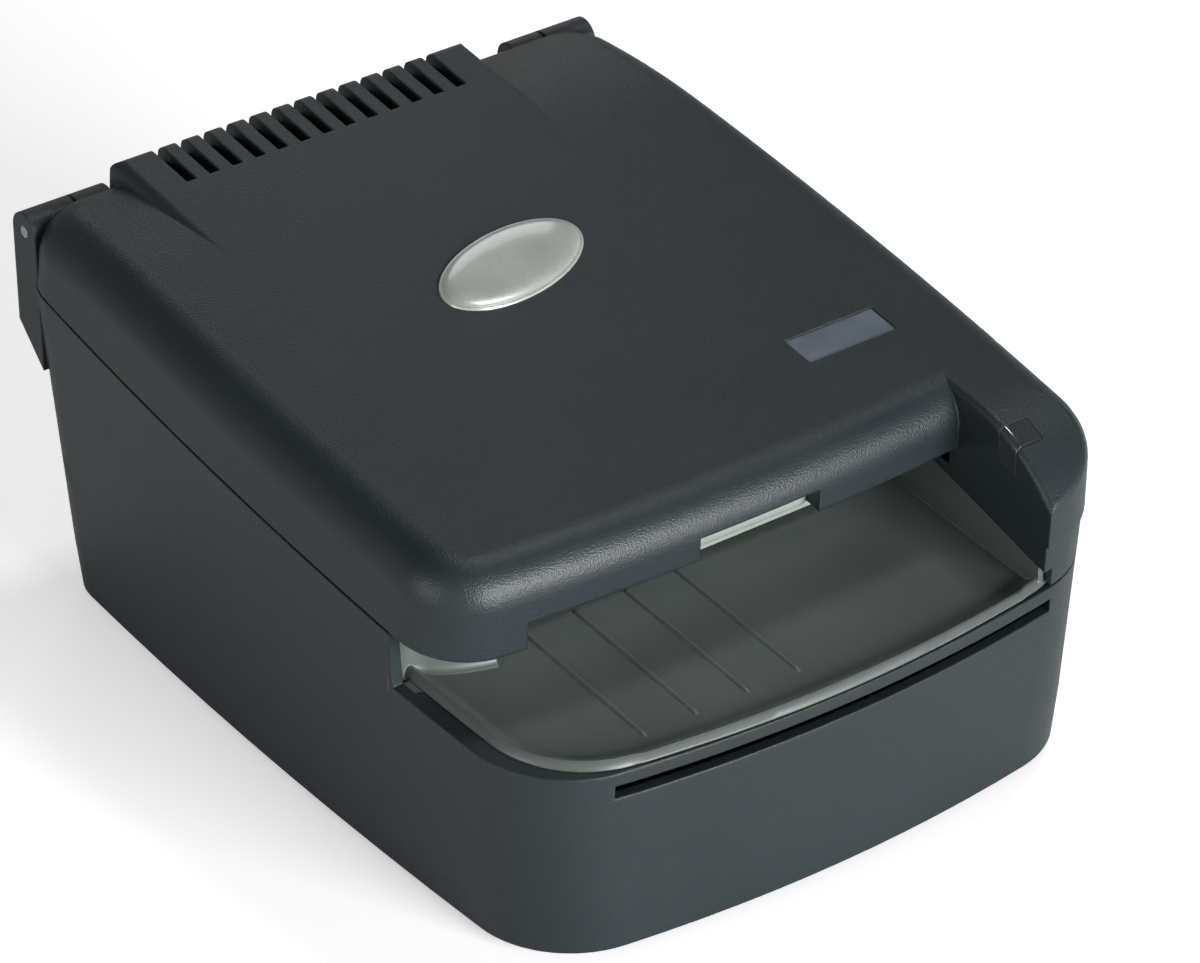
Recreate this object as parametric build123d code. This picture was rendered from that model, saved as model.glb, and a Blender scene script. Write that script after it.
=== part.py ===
"""Desktop cheque scanner: wedge-shaped lower housing, entry tray and a top cover hinged at the rear.

Frame: millimetres, +Z up, +X right seen from the front, the front faces -Y.
The origin is the centre of the footprint at floor level.
"""
from build123d import *
import math
import os

# ---------------------------------------------------------------- housing, seen from above
ORIGIN_SHIFT = 3.83         # brings the middle of the whole outline to Y = 0
SEAM_HALF_WIDTH = 72.6      # half width of the body at the seam, at its widest
SIDE_BOW = 3.4              # how far the side walls curve in at their ends
REAR_Y = 87.0               # rear wall at the seam
FRONT_Y = -97.0             # front wall at the seam, in the middle
FRONT_BOW = 8.0             # how far the front curves back at its ends
FRONT_CORNER_R = 22.0
REAR_CORNER_R = 13.0

# ---------------------------------------------------------------- housing, heights
FOOT_DROP = 1.8             # feet stand out below the bottom plate
SKIRT_TOP = 13.0            # crease where the skirt's draft ends
SKIRT_DRAFT = 4.5           # degrees, walls lean outward going up
WALL_DRAFT = 3.2
SEAM_HEIGHT = 64.0          # seam above the origin
SEAM_SLOPE = 0.1077         # the seam falls towards the front
TRAY_HEIGHT = 48.1          # paper surface above the origin
TRAY_SLOPE = 0.0536         # the paper surface falls towards the front
WALL = 2.4
RIM_ROUND = 1.2

# ---------------------------------------------------------------- entry tray
TRAY_REAR_Y = -43.5
TRAY_INSET = 4.2            # shoulder of the housing left beside the tray
TRAY_LIP_BACK = 1.6         # tray's front lip behind the front wall at the seam
TRAY_FRONT_BOW = 9.5
TRAY_CORNER_R = 22.0
TRAY_GAP = 0.4
WALL_STEP_GAP = 0.6
SKIRT_LIFT = 1.2            # lower edge of the arm's outer wall above the paper surface
TRAY_THICK = 2.2
TRAY_DISH = 1.2             # floor lies this far below the rim
TRAY_RIM_WIDTH = 2.6
TRAY_RIBS = 4
TRAY_RIB_PITCH = 12.0
TRAY_RIB_LEFT_X = -40.0
TRAY_RIB_WIDTH = 0.8
TRAY_RIB_HEIGHT = 0.5
TRAY_RIB_FRONT_Y = -85.0
TRAY_LEDGE = 3.0            # width of the housing's ledge under the tray's edge
DECK_THICK = 4.5
SHOULDER_RISE = 0.6         # shoulder above the paper surface
CORNER_WALL_INSET = 1.6
CORNER_WALL_THICK = 1.8
CHEEK_GAP = 1.0
CHEEK_INSET = 0.6
CHEEK_THICK = 1.3
SCOOP_Z = 38.0              # upper edge of the rear undercuts at the rear wall
SCOOP_SLOPE = 0.32
SCOOP_DEPTH = 1.8
SCOOP_FADE_Y = 50.0
FRONT_SLOT_LEFT_X = -52.0
FRONT_SLOT_HEIGHT = 3.0
FRONT_SLOT_DEPTH = 9.0

# ---------------------------------------------------------------- top cover
COVER_HEIGHT = 19.0         # above the seam
COVER_DRAFT = 3.0
COVER_WALL = 2.2
COVER_EDGE_R = 8.5
SEAM_GAP = 0.6
LIP_DEPTH = 4.0
MOUTH_LEFT_X = -52.5        # the entry mouth, from here to the guide arm
MOUTH_FRONT_Y = -67.0       # front edge of the cover, in the middle
MOUTH_BOW = 4.0
MOUTH_LIFT = 6.2            # front edge of the cover above the seam
COVER_CORNER_R = 15.0
NOTCH_HALF_WIDTH = 14.2
NOTCH_RISE = 5.0
ARM_INNER_X = 49.5
WALL_STEP_Y = -47.0         # side walls step down from the seam to the tray here
ARM_BEND_Y = -68.0          # the arm's top starts to fall here, on an arc
ARM_NOSE_R = 37.5
ARM_EDGE_R = 1.5
ARM_LOWER_REAR_Z = 54.9     # lower edge of the arm's inner wall at the mouth and at the front
ARM_LOWER_FRONT_Z = 47.2

# ---------------------------------------------------------------- air slots at the rear
HUMP_LEFT_X = -48.0
HUMP_RIGHT_X = 38.0
HUMP_FADE_Y = 45.0
HUMP_EDGE_R = 2.5
SHOULDER_DROP = 4.2         # how far the cover falls beside the hump at the rear edge
SLOT_COUNT = 13
SLOT_PITCH = 5.47
SLOT_WIDTH = 2.4
SLOT_FRONT_Y = 72.5
SLOT_REAR_DROP = 5.5

# ---------------------------------------------------------------- things on the cover
BADGE_HALF_LENGTH = 19.0
BADGE_HALF_WIDTH = 10.3
BADGE_Y = 15.5
BADGE_TURN = 15.7           # degrees
BADGE_RECESS = 1.0
BADGE_DOME = 1.3
PLATE_X = 41.2
PLATE_Y = -37.0
PLATE_LENGTH = 21.5
PLATE_WIDTH = 8.4
PLATE_RECESS = 0.7
PLATE_THICK = 0.5
TRIM_CLEARANCE = 0.15       # badge, plate and light pipe in their seats
LIGHT_FRONT_Y = -83.0
LIGHT_LENGTH = 5.2
LIGHT_ACROSS = 6.5
LIGHT_DOWN = 5.5
LIGHT_THICK = 1.6
LIGHT_PROUD = 0.5

# ---------------------------------------------------------------- hinge
HINGE_Y = 84.0
HINGE_Z = 83.0
HINGE_KNUCKLE_R = 4.2
HINGE_PIN_R = 1.25
PIN_CLEARANCE = 0.05
EAR_OUTER_X = 70.0
EAR_INSET = 1.0
EAR_WIDTH = 12.0
KNUCKLE_WIDTH = 8.0
HINGE_SIDE_GAP = 0.5
HINGE_SWEEP_GAP = 0.8

# ---------------------------------------------------------------- paper path, in its own frame
ROLLER_SPAN = 56.0          # between the two feed shafts
ROLLER_R = 8.0
ROLLER_PROUD = 0.4          # feed rollers stand this far above the bed
ROLLER_WIDTH = 12.0
ROLLER_X = 18.0
SHAFT_R = 2.5
SHAFT_LEFT_X = -64.0
SHAFT_RIGHT_X = 59.0
BED_HALF_WIDTH = 53.5
BED_REAR_Y = 74.0
BED_THICK = 2.0
BED_RIB_PITCH = 15.0
WINDOW_GAP = 1.2            # bed windows around rollers and read head
SIDE_PLATE_X = 54.4         # inner faces of the chassis plates
SIDE_PLATE_THICK = 1.6
SIDE_PLATE_FRONT_Y = -38.0
SIDE_PLATE_REAR_Y = 50.0
FLANGE_REAR_Y = 2.0         # the flanges end in front of the motor
SIDE_FLANGE = 8.0
BUSH_R = 4.6
BUSH_FLANGE_R = 5.4
BUSH_FLANGE = 1.2
BUSH_LENGTH = 4.0
RUNNING_GAP = 0.05
SEAT_GAP = 0.02

# ---------------------------------------------------------------- gears and motor
MODULE = 1.0
FEED_TEETH = 24
IDLER_TEETH = 36
PINION_TEETH = 14
GEAR_WIDTH = 5.0
GEAR_LEFT_X = -62.5
BACKLASH = 0.3              # taken off each tooth's thickness
TIP_EASE = 1.25             # how much the straight flanks lean in towards tip and root
ROOT_EASE = 0.7
IDLER_STUD_R = 2.5
PINION_ANGLE = -25.0        # degrees, from the idler towards the rear
MOTOR_R = 15.0
MOTOR_LENGTH = 20.0
MOTOR_FLANGE = 42.0
MOTOR_SHAFT_R = 1.5

# ---------------------------------------------------------------- parts that touch the paper
HEAD_X = 43.0
HEAD_Y = -12.0
HEAD_SIZE = (10.0, 12.0, 14.0)
HEAD_CROWN_R = 9.0
BRACKET_THICK = 0.8
GUIDE_GAP = 1.4             # paper space under the upper guide
GUIDE_THICK = 1.6
GUIDE_NOSE_Y = -45.0
GUIDE_REAR_Y = 66.0
GUIDE_HALF_WIDTH = 49.0
GUIDE_GROOVE = 2.7
GUIDE_BEAM = 7.0
PINCH_R = 5.0
PINCH_GAP = 0.3             # left between the two rollers for the paper
PINCH_AXLE_R = 1.5
PINCH_EAR_X = 30.0
PINCH_EAR = 2.5
SENSOR_Y = 4.0
SENSOR_DEPTH = 14.0
SENSOR_HALF_WIDTH = 46.0
SENSOR_HEIGHT = 9.0
GLASS_THICK = 1.2
SENSOR_GAP = 0.3
GUIDE_SCREW = 5.0
GUIDE_BOSS = 3.4            # height of the bosses around the guide's screws
GUIDE_BOSS_R = 4.6
SCREW_SUNK = 2.2
POST_LENGTH = 37.0          # the posts run up into the cover's top
POST_R = 3.5
POST_X = 40.0
POST_YS = (-32.0, 56.0)

# ---------------------------------------------------------------- bottom, board and sockets
PAN_THICK = 2.4
PAN_GAP = 0.3
FOOT_R = 7.0
FOOT_X = 50.0
FOOT_YS = (-66.0, 66.0)
BOSS_R = 4.0
SCREW_R = 1.5
SCREW_HEAD_R = 2.8
SCREW_HEAD = 1.8
SCREW_LENGTH = 10.0
SCREW_X = 60.0
SCREW_YS = (-60.0, 60.0)
PAN_VENTS = 6
PAN_VENT_Y = -40.0
PAN_VENT_PITCH = 8.0
PAN_VENT_LENGTH = 50.0
PAN_VENT_WIDTH = 2.5
BOARD_SCREW = 5.0
SOCKET_REACH = 3.0          # sockets stand out this far behind the board
# left x, front y, width, depth, height
CHIPS = ((-12.0, 50.0, 14.0, 14.0, 1.6), (12.0, 52.0, 9.0, 9.0, 1.4), (-30.0, 48.0, 10.0, 7.0, 1.8))
CAPACITORS = ((28.0, 50.0), (28.0, 60.0))
CAPACITOR_R = 3.5
CAPACITOR_HEIGHT = 9.0
BOARD_FRONT_Y = 43.0
BOARD_REAR_Y = 80.5
BOARD_HALF_WIDTH = 44.0
BOARD_RISE = 4.0            # above the bottom plate
BOARD_THICK = 1.6
SOCKET_GAP = 0.4
# name, middle x, width, height, depth, hollow depth
SOCKETS = (("power_inlet", -30.0, 9.0, 11.0, 14.0, 9.0),
           ("usb_socket", -8.0, 12.0, 11.0, 16.0, 9.0),
           ("serial_socket", 24.0, 17.0, 12.5, 13.0, 9.0))
SOCKET_WALL = 1.5

SEAM_ANGLE = math.degrees(math.atan(SEAM_SLOPE))


def seam_z(y):
    return SEAM_HEIGHT + SEAM_SLOPE * y


def tray_z(y):
    return TRAY_HEIGHT + TRAY_SLOPE * y


def half_width_at(z):
    """Half width of the drafted housing wall at a height."""
    upper = (SEAM_HEIGHT - max(z, SKIRT_TOP)) * math.tan(math.radians(WALL_DRAFT))
    skirt = max(SKIRT_TOP - z, 0) * math.tan(math.radians(SKIRT_DRAFT))
    return SEAM_HALF_WIDTH - upper - skirt


def plan_face(half_at, rear, front_mid, front_bow, front_r, rear_r):
    """Plan with bowed sides and front; half_at(y) is the half width at y."""
    corner_y = front_mid
    for _ in range(6):
        corner_x = half_at(corner_y)
        corner_y = front_mid + front_bow * (corner_x / SEAM_HALF_WIDTH) ** 2
    mid = (rear + corner_y) / 2
    left = ThreePointArc((-half_at(rear), rear), (-half_at(mid), mid), (-corner_x, corner_y))
    nose = ThreePointArc((-corner_x, corner_y), (0, front_mid), (corner_x, corner_y))
    right = ThreePointArc((corner_x, corner_y), (half_at(mid), mid), (half_at(rear), rear))
    back = Line((half_at(rear), rear), (-half_at(rear), rear))
    face = make_face([left, nose, right, back])
    face = fillet([v for v in face.vertices() if abs(v.Y - corner_y) < 0.01], front_r)
    return fillet([v for v in face.vertices() if abs(v.Y - rear) < 0.01], rear_r)


def bow_at(y):
    """How far the side walls have curved in at a place along the body."""
    middle = (REAR_Y + FRONT_Y) / 2
    return SIDE_BOW * ((y - middle) / (REAR_Y - middle)) ** 2


def body_plan(z, inset=0.0):
    """Plan of the housing at a height."""
    lean = SEAM_HALF_WIDTH - half_width_at(z) + inset
    face = plan_face(lambda y: SEAM_HALF_WIDTH - lean - bow_at(y), REAR_Y - lean, FRONT_Y + lean,
                     FRONT_BOW, max(FRONT_CORNER_R - inset, 1), max(REAR_CORNER_R - inset, 1))
    return Pos(0, 0, z) * face


def body_block(low, high, inset=0.0):
    """Solid between two heights with the crease of the skirt, if it lies between them."""
    levels = sorted({low, high} | ({SKIRT_TOP} if low < SKIRT_TOP < high else set()))
    return loft([body_plan(z, inset) for z in levels], ruled=True)


def below_slope(height, slope, reach=400.0):
    """Half space under a plane that rises towards the rear."""
    tilt = math.degrees(math.atan(slope))
    return Pos(0, 0, height) * Rot(tilt, 0, 0) * Pos(0, 0, -reach / 2) * Box(reach, reach, reach)


def x_prism(points, x_low, x_high):
    """Solid with the same Y-Z profile from one X to another."""
    outline = Polyline(*[(x_low, y, z) for y, z in points], close=True)
    return extrude(make_face(outline), amount=x_high - x_low, dir=(1, 0, 0))


def x_rod(radius, x_low, x_high, y, z):
    return Pos((x_low + x_high) / 2, y, z) * Rot(0, 90, 0) * Cylinder(radius, x_high - x_low)


def block(x_low, x_high, y_low, y_high, z_low, z_high):
    size = (x_high - x_low, y_high - y_low, z_high - z_low)
    centre = ((x_low + x_high) / 2, (y_low + y_high) / 2, (z_low + z_high) / 2)
    return Pos(*centre) * Box(*size)


# ---------------------------------------------------------------- top cover, in the frame of the seam
def cover_place():
    """Turns the seam's own frame, with z = 0 on the seam, into the scanner's frame."""
    return Pos(0, 0, SEAM_HEIGHT) * Rot(SEAM_ANGLE, 0, 0)


def along_seam(y):
    return y / math.cos(math.radians(SEAM_ANGLE))


def cover_plan(front_mid, front_bow, front_r, inset):
    """Plan of the cover on the seam, flush with the housing, ending at a bowed front edge."""
    slant = math.cos(math.radians(SEAM_ANGLE))
    return plan_face(lambda y: half_width_at(seam_z(y * slant)) - bow_at(y * slant) - inset,
                     along_seam(REAR_Y) - inset, along_seam(front_mid) + inset, front_bow,
                     max(front_r - inset, 1), max(REAR_CORNER_R - inset, 1))


def side_profile(points, width=2 * SEAM_HALF_WIDTH + 20):
    """Solid across the whole width from lines and arcs given in the Y-Z plane."""
    face = Plane.YZ * make_face(points)
    return Pos(-width / 2, 0, 0) * extrude(face, amount=width, dir=(1, 0, 0))


def cover_loft(front, inset):
    """Drafted block on the seam; front is (middle y, bow, corner radius)."""
    lean = COVER_HEIGHT * math.tan(math.radians(COVER_DRAFT))
    upper = Pos(0, 0, COVER_HEIGHT) * cover_plan(*front, inset + lean)
    return loft([cover_plan(*front, inset), upper], ruled=True)


def arc_drop(run, drop):
    """Radius of an arc that starts level and has dropped so far after a run."""
    return (run ** 2 + drop ** 2) / (2 * drop)


def main_profile(top):
    """Side view of the main cover: level, then falling beside the air slots."""
    fade, rear = along_seam(HUMP_FADE_Y), along_seam(REAR_Y)
    radius = arc_drop(rear - fade, SHOULDER_DROP)
    middle = (fade + rear) / 2
    dip = top - radius + math.sqrt(radius ** 2 - (middle - fade) ** 2)
    low = top - SHOULDER_DROP
    front, back, floor = -2 * REAR_Y, 2 * REAR_Y, -COVER_HEIGHT
    return side_profile([
        Line((front, floor), (front, top)), Line((front, top), (fade, top)),
        ThreePointArc((fade, top), (middle, dip), (rear, low)), Line((rear, low), (back, low)),
        Line((back, low), (back, floor)), Line((back, floor), (front, floor))])


def arm_profile(top, inset):
    """Side view of the guide arm: level, then rounding down to its nose."""
    bend, radius = along_seam(ARM_BEND_Y), ARM_NOSE_R - inset
    reach = along_seam(FRONT_Y) - bend
    points = []
    for share in (0.6, 1.15):
        run = reach * share
        points.append((bend + run, top - radius + math.sqrt(radius ** 2 - run ** 2)))
    back, floor = 2 * REAR_Y, -COVER_HEIGHT
    return side_profile([
        Line((back, top), (bend, top)), ThreePointArc((bend, top), points[0], points[1]),
        Line(points[1], (points[1][0], floor)), Line((points[1][0], floor), (back, floor)),
        Line((back, floor), (back, top))])


def main_cover(inset):
    """The cover without its arm, with its top edge rounded and its rear shoulders falling."""
    solid = cover_loft((MOUTH_FRONT_Y, MOUTH_BOW, COVER_CORNER_R), inset)
    solid = solid & main_profile(COVER_HEIGHT - inset)
    fade = along_seam(HUMP_FADE_Y)
    rim = [e for e in solid.edges() if e.center().Z > COVER_HEIGHT * 0.65 - inset
           and not (abs(e.center().X) < 1 and abs(e.center().Y - fade) < 1)]
    return fillet(rim, COVER_EDGE_R - inset)


def guide_arm(inset):
    """The arm that runs forward along the right side of the tray."""
    top = COVER_HEIGHT - inset
    span = 2 * REAR_Y
    whole = cover_loft((FRONT_Y, FRONT_BOW, FRONT_CORNER_R), inset)
    whole = whole & block(-span, span, -span, span, -1, top)
    whole = fillet(whole.faces().sort_by(Axis.Z)[-1].edges(), COVER_EDGE_R - inset)
    keep = block(ARM_INNER_X + inset, span, -span, along_seam(MOUTH_FRONT_Y) + 14, -1, span)
    arm = whole & arm_profile(top, inset) & keep
    if inset:
        return arm
    inner = [e for e in arm.edges() if abs(e.center().X - ARM_INNER_X) < 0.3
             and e.center().Z > 7 and e.length > 6]
    nose = [e for e in arm.edges() if e.center().Z > 3 and e.center().X > ARM_INNER_X + 0.3
            and e.center().Y < along_seam(ARM_BEND_Y) - 1 and e.geom_type != GeomType.LINE]
    return fillet(inner + nose, ARM_EDGE_R)


def hump(inset):
    """Level block at the rear that carries the air slots."""
    top = COVER_HEIGHT - inset
    lean = COVER_HEIGHT * math.tan(math.radians(COVER_DRAFT))
    front, rear = along_seam(HUMP_FADE_Y) - 5, along_seam(REAR_Y) - inset - lean / 2
    body = block(HUMP_LEFT_X + inset, HUMP_RIGHT_X - inset, front, rear, top / 2, top)
    edges = [e for e in body.edges() if e.center().Z > top - 0.01 and e.center().Y > front + 1]
    return fillet(edges, HUMP_EDGE_R)


def cover_solid(inset):
    """Outer form of the cover, or with an inset the hollow inside it, in the seam's frame."""
    return main_cover(inset) + guide_arm(inset) + hump(inset)


def arm_skirt(inset):
    """Wall of the arm below the seam, down to the shoulder around the tray."""
    drum = body_block(tray_z(FRONT_Y) - 2, SEAM_HEIGHT, inset)
    side = SEAM_HALF_WIDTH + 10
    zone = x_prism([(WALL_STEP_Y - WALL_STEP_GAP - inset, tray_z(WALL_STEP_Y) + SKIRT_LIFT),
                    (WALL_STEP_Y - WALL_STEP_GAP - inset, seam_z(WALL_STEP_Y) + 1),
                    (FRONT_Y, seam_z(FRONT_Y) + 1),
                    (FRONT_Y, tray_z(FRONT_Y) + SKIRT_LIFT)], ARM_INNER_X + inset, side)
    return drum & zone


# ---------------------------------------------------------------- frames of the paper path
def paper_place():
    """Turns the paper path's own frame, with z = 0 on the paper, into the scanner's frame."""
    return Pos(0, 0, TRAY_HEIGHT) * Rot(math.degrees(math.atan(TRAY_SLOPE)), 0, 0)


def tray_prism(inset, low, high):
    """Plan of the entry tray between two levels of the paper frame."""
    level = TRAY_HEIGHT
    lean = SEAM_HALF_WIDTH - half_width_at(level) + TRAY_INSET + inset
    face = plan_face(lambda y: SEAM_HALF_WIDTH - lean - bow_at(y), 0, FRONT_Y + TRAY_LIP_BACK + inset,
                     TRAY_FRONT_BOW, TRAY_CORNER_R - inset, 1)
    return Pos(0, 0, low) * extrude(face, amount=high - low, dir=(0, 0, 1))


# ---------------------------------------------------------------- top cover shell
def cover_shell():
    shell = cover_solid(0) - cover_solid(COVER_WALL)
    hollow = Pos(0, 0, -0.5) * extrude(cover_plan(MOUTH_FRONT_Y, MOUTH_BOW, COVER_CORNER_R,
                                                  COVER_WALL), amount=1.0, dir=(0, 0, 1))
    shell = shell - hollow
    front = along_seam(MOUTH_FRONT_Y)
    shell -= block(MOUTH_LEFT_X, ARM_INNER_X, front - 10, front + 14, -5, MOUTH_LIFT)
    shell -= block(-NOTCH_HALF_WIDTH, NOTCH_HALF_WIDTH, front - 10, front + 14,
                   -5, MOUTH_LIFT + NOTCH_RISE)
    shell -= slot_cutters()
    shell -= block(-2 * REAR_Y, 2 * REAR_Y, -2 * REAR_Y, 2 * REAR_Y, -5, SEAM_GAP / 2)
    shell += front_lip()
    shell = cover_place() * (shell - badge_form(0) - plate_form(0))
    shell += arm_skirt(0) - arm_skirt(COVER_WALL)
    shell -= arm_underside()
    shell -= light_pipe_zone(0)
    inside = cover_place() * cover_solid(COVER_WALL / 2)
    shell += [post & inside for post in guide_posts()]
    return with_hinge_knuckles(shell)


def slot_cutters():
    """Air slots through the hump, running over its rear edge."""
    first = (HUMP_LEFT_X + HUMP_RIGHT_X - SLOT_PITCH * (SLOT_COUNT - 1)) / 2
    rear = along_seam(REAR_Y) + 5
    slots = []
    for index in range(SLOT_COUNT):
        x = first + index * SLOT_PITCH
        slots.append(block(x - SLOT_WIDTH / 2, x + SLOT_WIDTH / 2, SLOT_FRONT_Y, rear,
                           COVER_HEIGHT - SLOT_REAR_DROP, COVER_HEIGHT + 2))
    return slots


def front_lip():
    """Return behind the front edge that makes the mouth's edge thick."""
    front = along_seam(MOUTH_FRONT_Y)
    bar = block(MOUTH_LEFT_X, ARM_INNER_X + 1, front, front + LIP_DEPTH + MOUTH_BOW, MOUTH_LIFT,
                MOUTH_LIFT + COVER_WALL)
    bar -= block(-NOTCH_HALF_WIDTH, NOTCH_HALF_WIDTH, front - 1, front + 14, 0, COVER_HEIGHT)
    cheeks = []
    for sign in (-1, 1):
        inner, outer = NOTCH_HALF_WIDTH, NOTCH_HALF_WIDTH + COVER_WALL
        cheeks.append(block(min(sign * inner, sign * outer), max(sign * inner, sign * outer), front + 1,
                            front + LIP_DEPTH + MOUTH_BOW, MOUTH_LIFT, COVER_HEIGHT - 1))
    return (bar + cheeks) & main_cover(0)


def badge_form(clearance, proud=0.0):
    """Oval disc let into the cover's top."""
    oval = Ellipse(BADGE_HALF_LENGTH - clearance, BADGE_HALF_WIDTH - clearance)
    disc = extrude(oval, amount=BADGE_RECESS + proud, dir=(0, 0, 1))
    return Pos(0, along_seam(BADGE_Y), COVER_HEIGHT - BADGE_RECESS) * Rot(0, 0, BADGE_TURN) * disc


def plate_form(clearance, thick=PLATE_RECESS):
    length, width = PLATE_LENGTH - 2 * clearance, PLATE_WIDTH - 2 * clearance
    flat = extrude(Rectangle(length, width), amount=thick, dir=(0, 0, 1))
    return Pos(PLATE_X, along_seam(PLATE_Y), COVER_HEIGHT - PLATE_RECESS) * flat


def arm_lower_z(y):
    """Lower edge of the arm's inner wall, which falls from the mouth to the front."""
    share = (y - MOUTH_FRONT_Y) / (FRONT_Y - MOUTH_FRONT_Y)
    return ARM_LOWER_REAR_Z + share * (ARM_LOWER_FRONT_Z - ARM_LOWER_REAR_Z)


def arm_underside():
    """Cuts the inner wall off along its sloping lower edge."""
    rear, front = WALL_STEP_Y, FRONT_Y - 2
    return x_prism([(rear, 0), (rear, arm_lower_z(rear)), (front, arm_lower_z(front)), (front, 0)],
                   ARM_INNER_X - 1, ARM_INNER_X + COVER_WALL + 0.01)


def light_pipe_zone(clearance):
    rear = LIGHT_FRONT_Y + LIGHT_LENGTH
    low = seam_z(LIGHT_FRONT_Y) + arm_top_height() - LIGHT_DOWN
    return block(ARM_INNER_X - 1, ARM_INNER_X + LIGHT_ACROSS - clearance,
                 LIGHT_FRONT_Y + clearance, rear - clearance, low + clearance, SEAM_HEIGHT + 40)


def arm_top_height():
    """Height of the arm's top above the seam where the light pipe ends."""
    run = along_seam(ARM_BEND_Y) - along_seam(LIGHT_FRONT_Y)
    return COVER_HEIGHT - ARM_NOSE_R + math.sqrt(ARM_NOSE_R ** 2 - run ** 2)


def light_pipe():
    """Clear L-shaped piece let into the arm's inner top edge."""
    corner = guide_arm(0) - guide_arm(LIGHT_THICK)
    return (cover_place() * corner) & light_pipe_zone(TRIM_CLEARANCE)


def ear_span(sign, width, outer):
    low, high = sorted((sign * outer, sign * (outer - width)))
    return low, high


def with_hinge_knuckles(shell):
    """Relief around the housing's hinge ears, and the cover's own knuckles beside them."""
    relief = HINGE_KNUCKLE_R + HINGE_SWEEP_GAP
    for sign in (-1, 1):
        low, high = ear_span(sign, EAR_WIDTH + HINGE_SIDE_GAP + 6, EAR_OUTER_X + 6)
        shell -= x_rod(relief, low, high, HINGE_Y, HINGE_Z)
        shell -= block(low, high, HINGE_Y - relief, HINGE_Y + 20, SEAM_HEIGHT, HINGE_Z)
        shell -= block(low, high, HINGE_Y, HINGE_Y + 20, SEAM_HEIGHT, HINGE_Z + 20)
        low, high = ear_span(sign, KNUCKLE_WIDTH, EAR_OUTER_X - EAR_WIDTH - HINGE_SIDE_GAP)
        shell += x_rod(HINGE_KNUCKLE_R, low, high, HINGE_Y, HINGE_Z)
        shell -= x_rod(HINGE_PIN_R + PIN_CLEARANCE, low - 1, high + 1, HINGE_Y, HINGE_Z)
    return shell


# ---------------------------------------------------------------- lower housing
def shoulder_cut():
    """Everything above the shoulder around the tray, in front of the side walls' step."""
    front = FRONT_Y - 20
    side = SEAM_HALF_WIDTH + 10
    return x_prism([(WALL_STEP_Y, tray_z(WALL_STEP_Y) + SHOULDER_RISE), (WALL_STEP_Y, SEAM_HEIGHT * 2),
                    (front, SEAM_HEIGHT * 2), (front, tray_z(front) + SHOULDER_RISE)], -side, side)


def base_housing():
    top = SEAM_HEIGHT * 1.4
    outer = (body_block(FOOT_DROP, top) & below_slope(SEAM_HEIGHT - SEAM_GAP / 2, SEAM_SLOPE))
    outer -= shoulder_cut()
    hollow = body_block(FOOT_DROP - 1, top, WALL)
    deck = x_prism([(WALL_STEP_Y - 4, tray_z(WALL_STEP_Y) - DECK_THICK), (WALL_STEP_Y - 4, top),
                    (FRONT_Y - 9, top), (FRONT_Y - 9, tray_z(FRONT_Y) - DECK_THICK)],
                   -2 * SEAM_HALF_WIDTH, 2 * SEAM_HALF_WIDTH)
    shell = outer - (hollow - deck)
    well = block(-SEAM_HALF_WIDTH, SEAM_HALF_WIDTH, WALL_STEP_Y - 5, TRAY_REAR_Y, -20, 40)
    shell -= paper_place() * (tray_prism(-TRAY_GAP, -TRAY_THICK - 0.1, 40) + (well & tray_prism(-TRAY_GAP, -20, 40)))
    opening = tray_prism(TRAY_LEDGE, -20, 1)
    shell -= paper_place() * opening
    shell -= front_slot()
    shell -= rear_scoops()
    for name, x, width, height, depth, hollow_depth in SOCKETS:
        shell -= block(x - width / 2 - SOCKET_GAP, x + width / 2 + SOCKET_GAP, BOARD_REAR_Y - 1, REAR_Y + 5,
                       board_top() - SOCKET_GAP, board_top() + height + SOCKET_GAP)
    shell += hinge_ears() + corner_bosses()
    for sign in (-1, 1):
        shell -= x_rod(HINGE_PIN_R + SEAT_GAP, min(sign * EAR_OUTER_X, sign * 40) - 1,
                       max(sign * EAR_OUTER_X, sign * 40) + 1, HINGE_Y, HINGE_Z)
    return shell


def front_slot():
    """Narrow slot right under the tray's front lip."""
    high = -TRAY_THICK
    slot = block(FRONT_SLOT_LEFT_X, -FRONT_SLOT_LEFT_X, FRONT_Y - 5,
                 FRONT_Y + FRONT_SLOT_DEPTH + TRAY_FRONT_BOW, high - FRONT_SLOT_HEIGHT, high)
    ring = tray_prism(-8, high - FRONT_SLOT_HEIGHT, high) - tray_prism(FRONT_SLOT_DEPTH, high - 10, high + 1)
    return paper_place() * (slot & ring)


def rear_scoops():
    """Shallow undercut at the rear of each side wall, fading towards the front."""
    cuts = []
    for sign in (-1, 1):
        rear_half = half_width_at(SCOOP_Z) - SIDE_BOW
        outline = Polyline((sign * (rear_half - SCOOP_DEPTH), REAR_Y + 10), (sign * (rear_half + 12), REAR_Y + 10),
                           (sign * (rear_half + 12), SCOOP_FADE_Y), (sign * (rear_half + 2.5), SCOOP_FADE_Y),
                           close=True)
        wedge = extrude(make_face(outline), amount=SCOOP_Z - FOOT_DROP, dir=(0, 0, 1))
        wedge = Pos(0, 0, FOOT_DROP - 1) * wedge
        cuts.append(wedge & below_slope(SCOOP_Z - SCOOP_SLOPE * REAR_Y, SCOOP_SLOPE))
    return cuts


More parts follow.
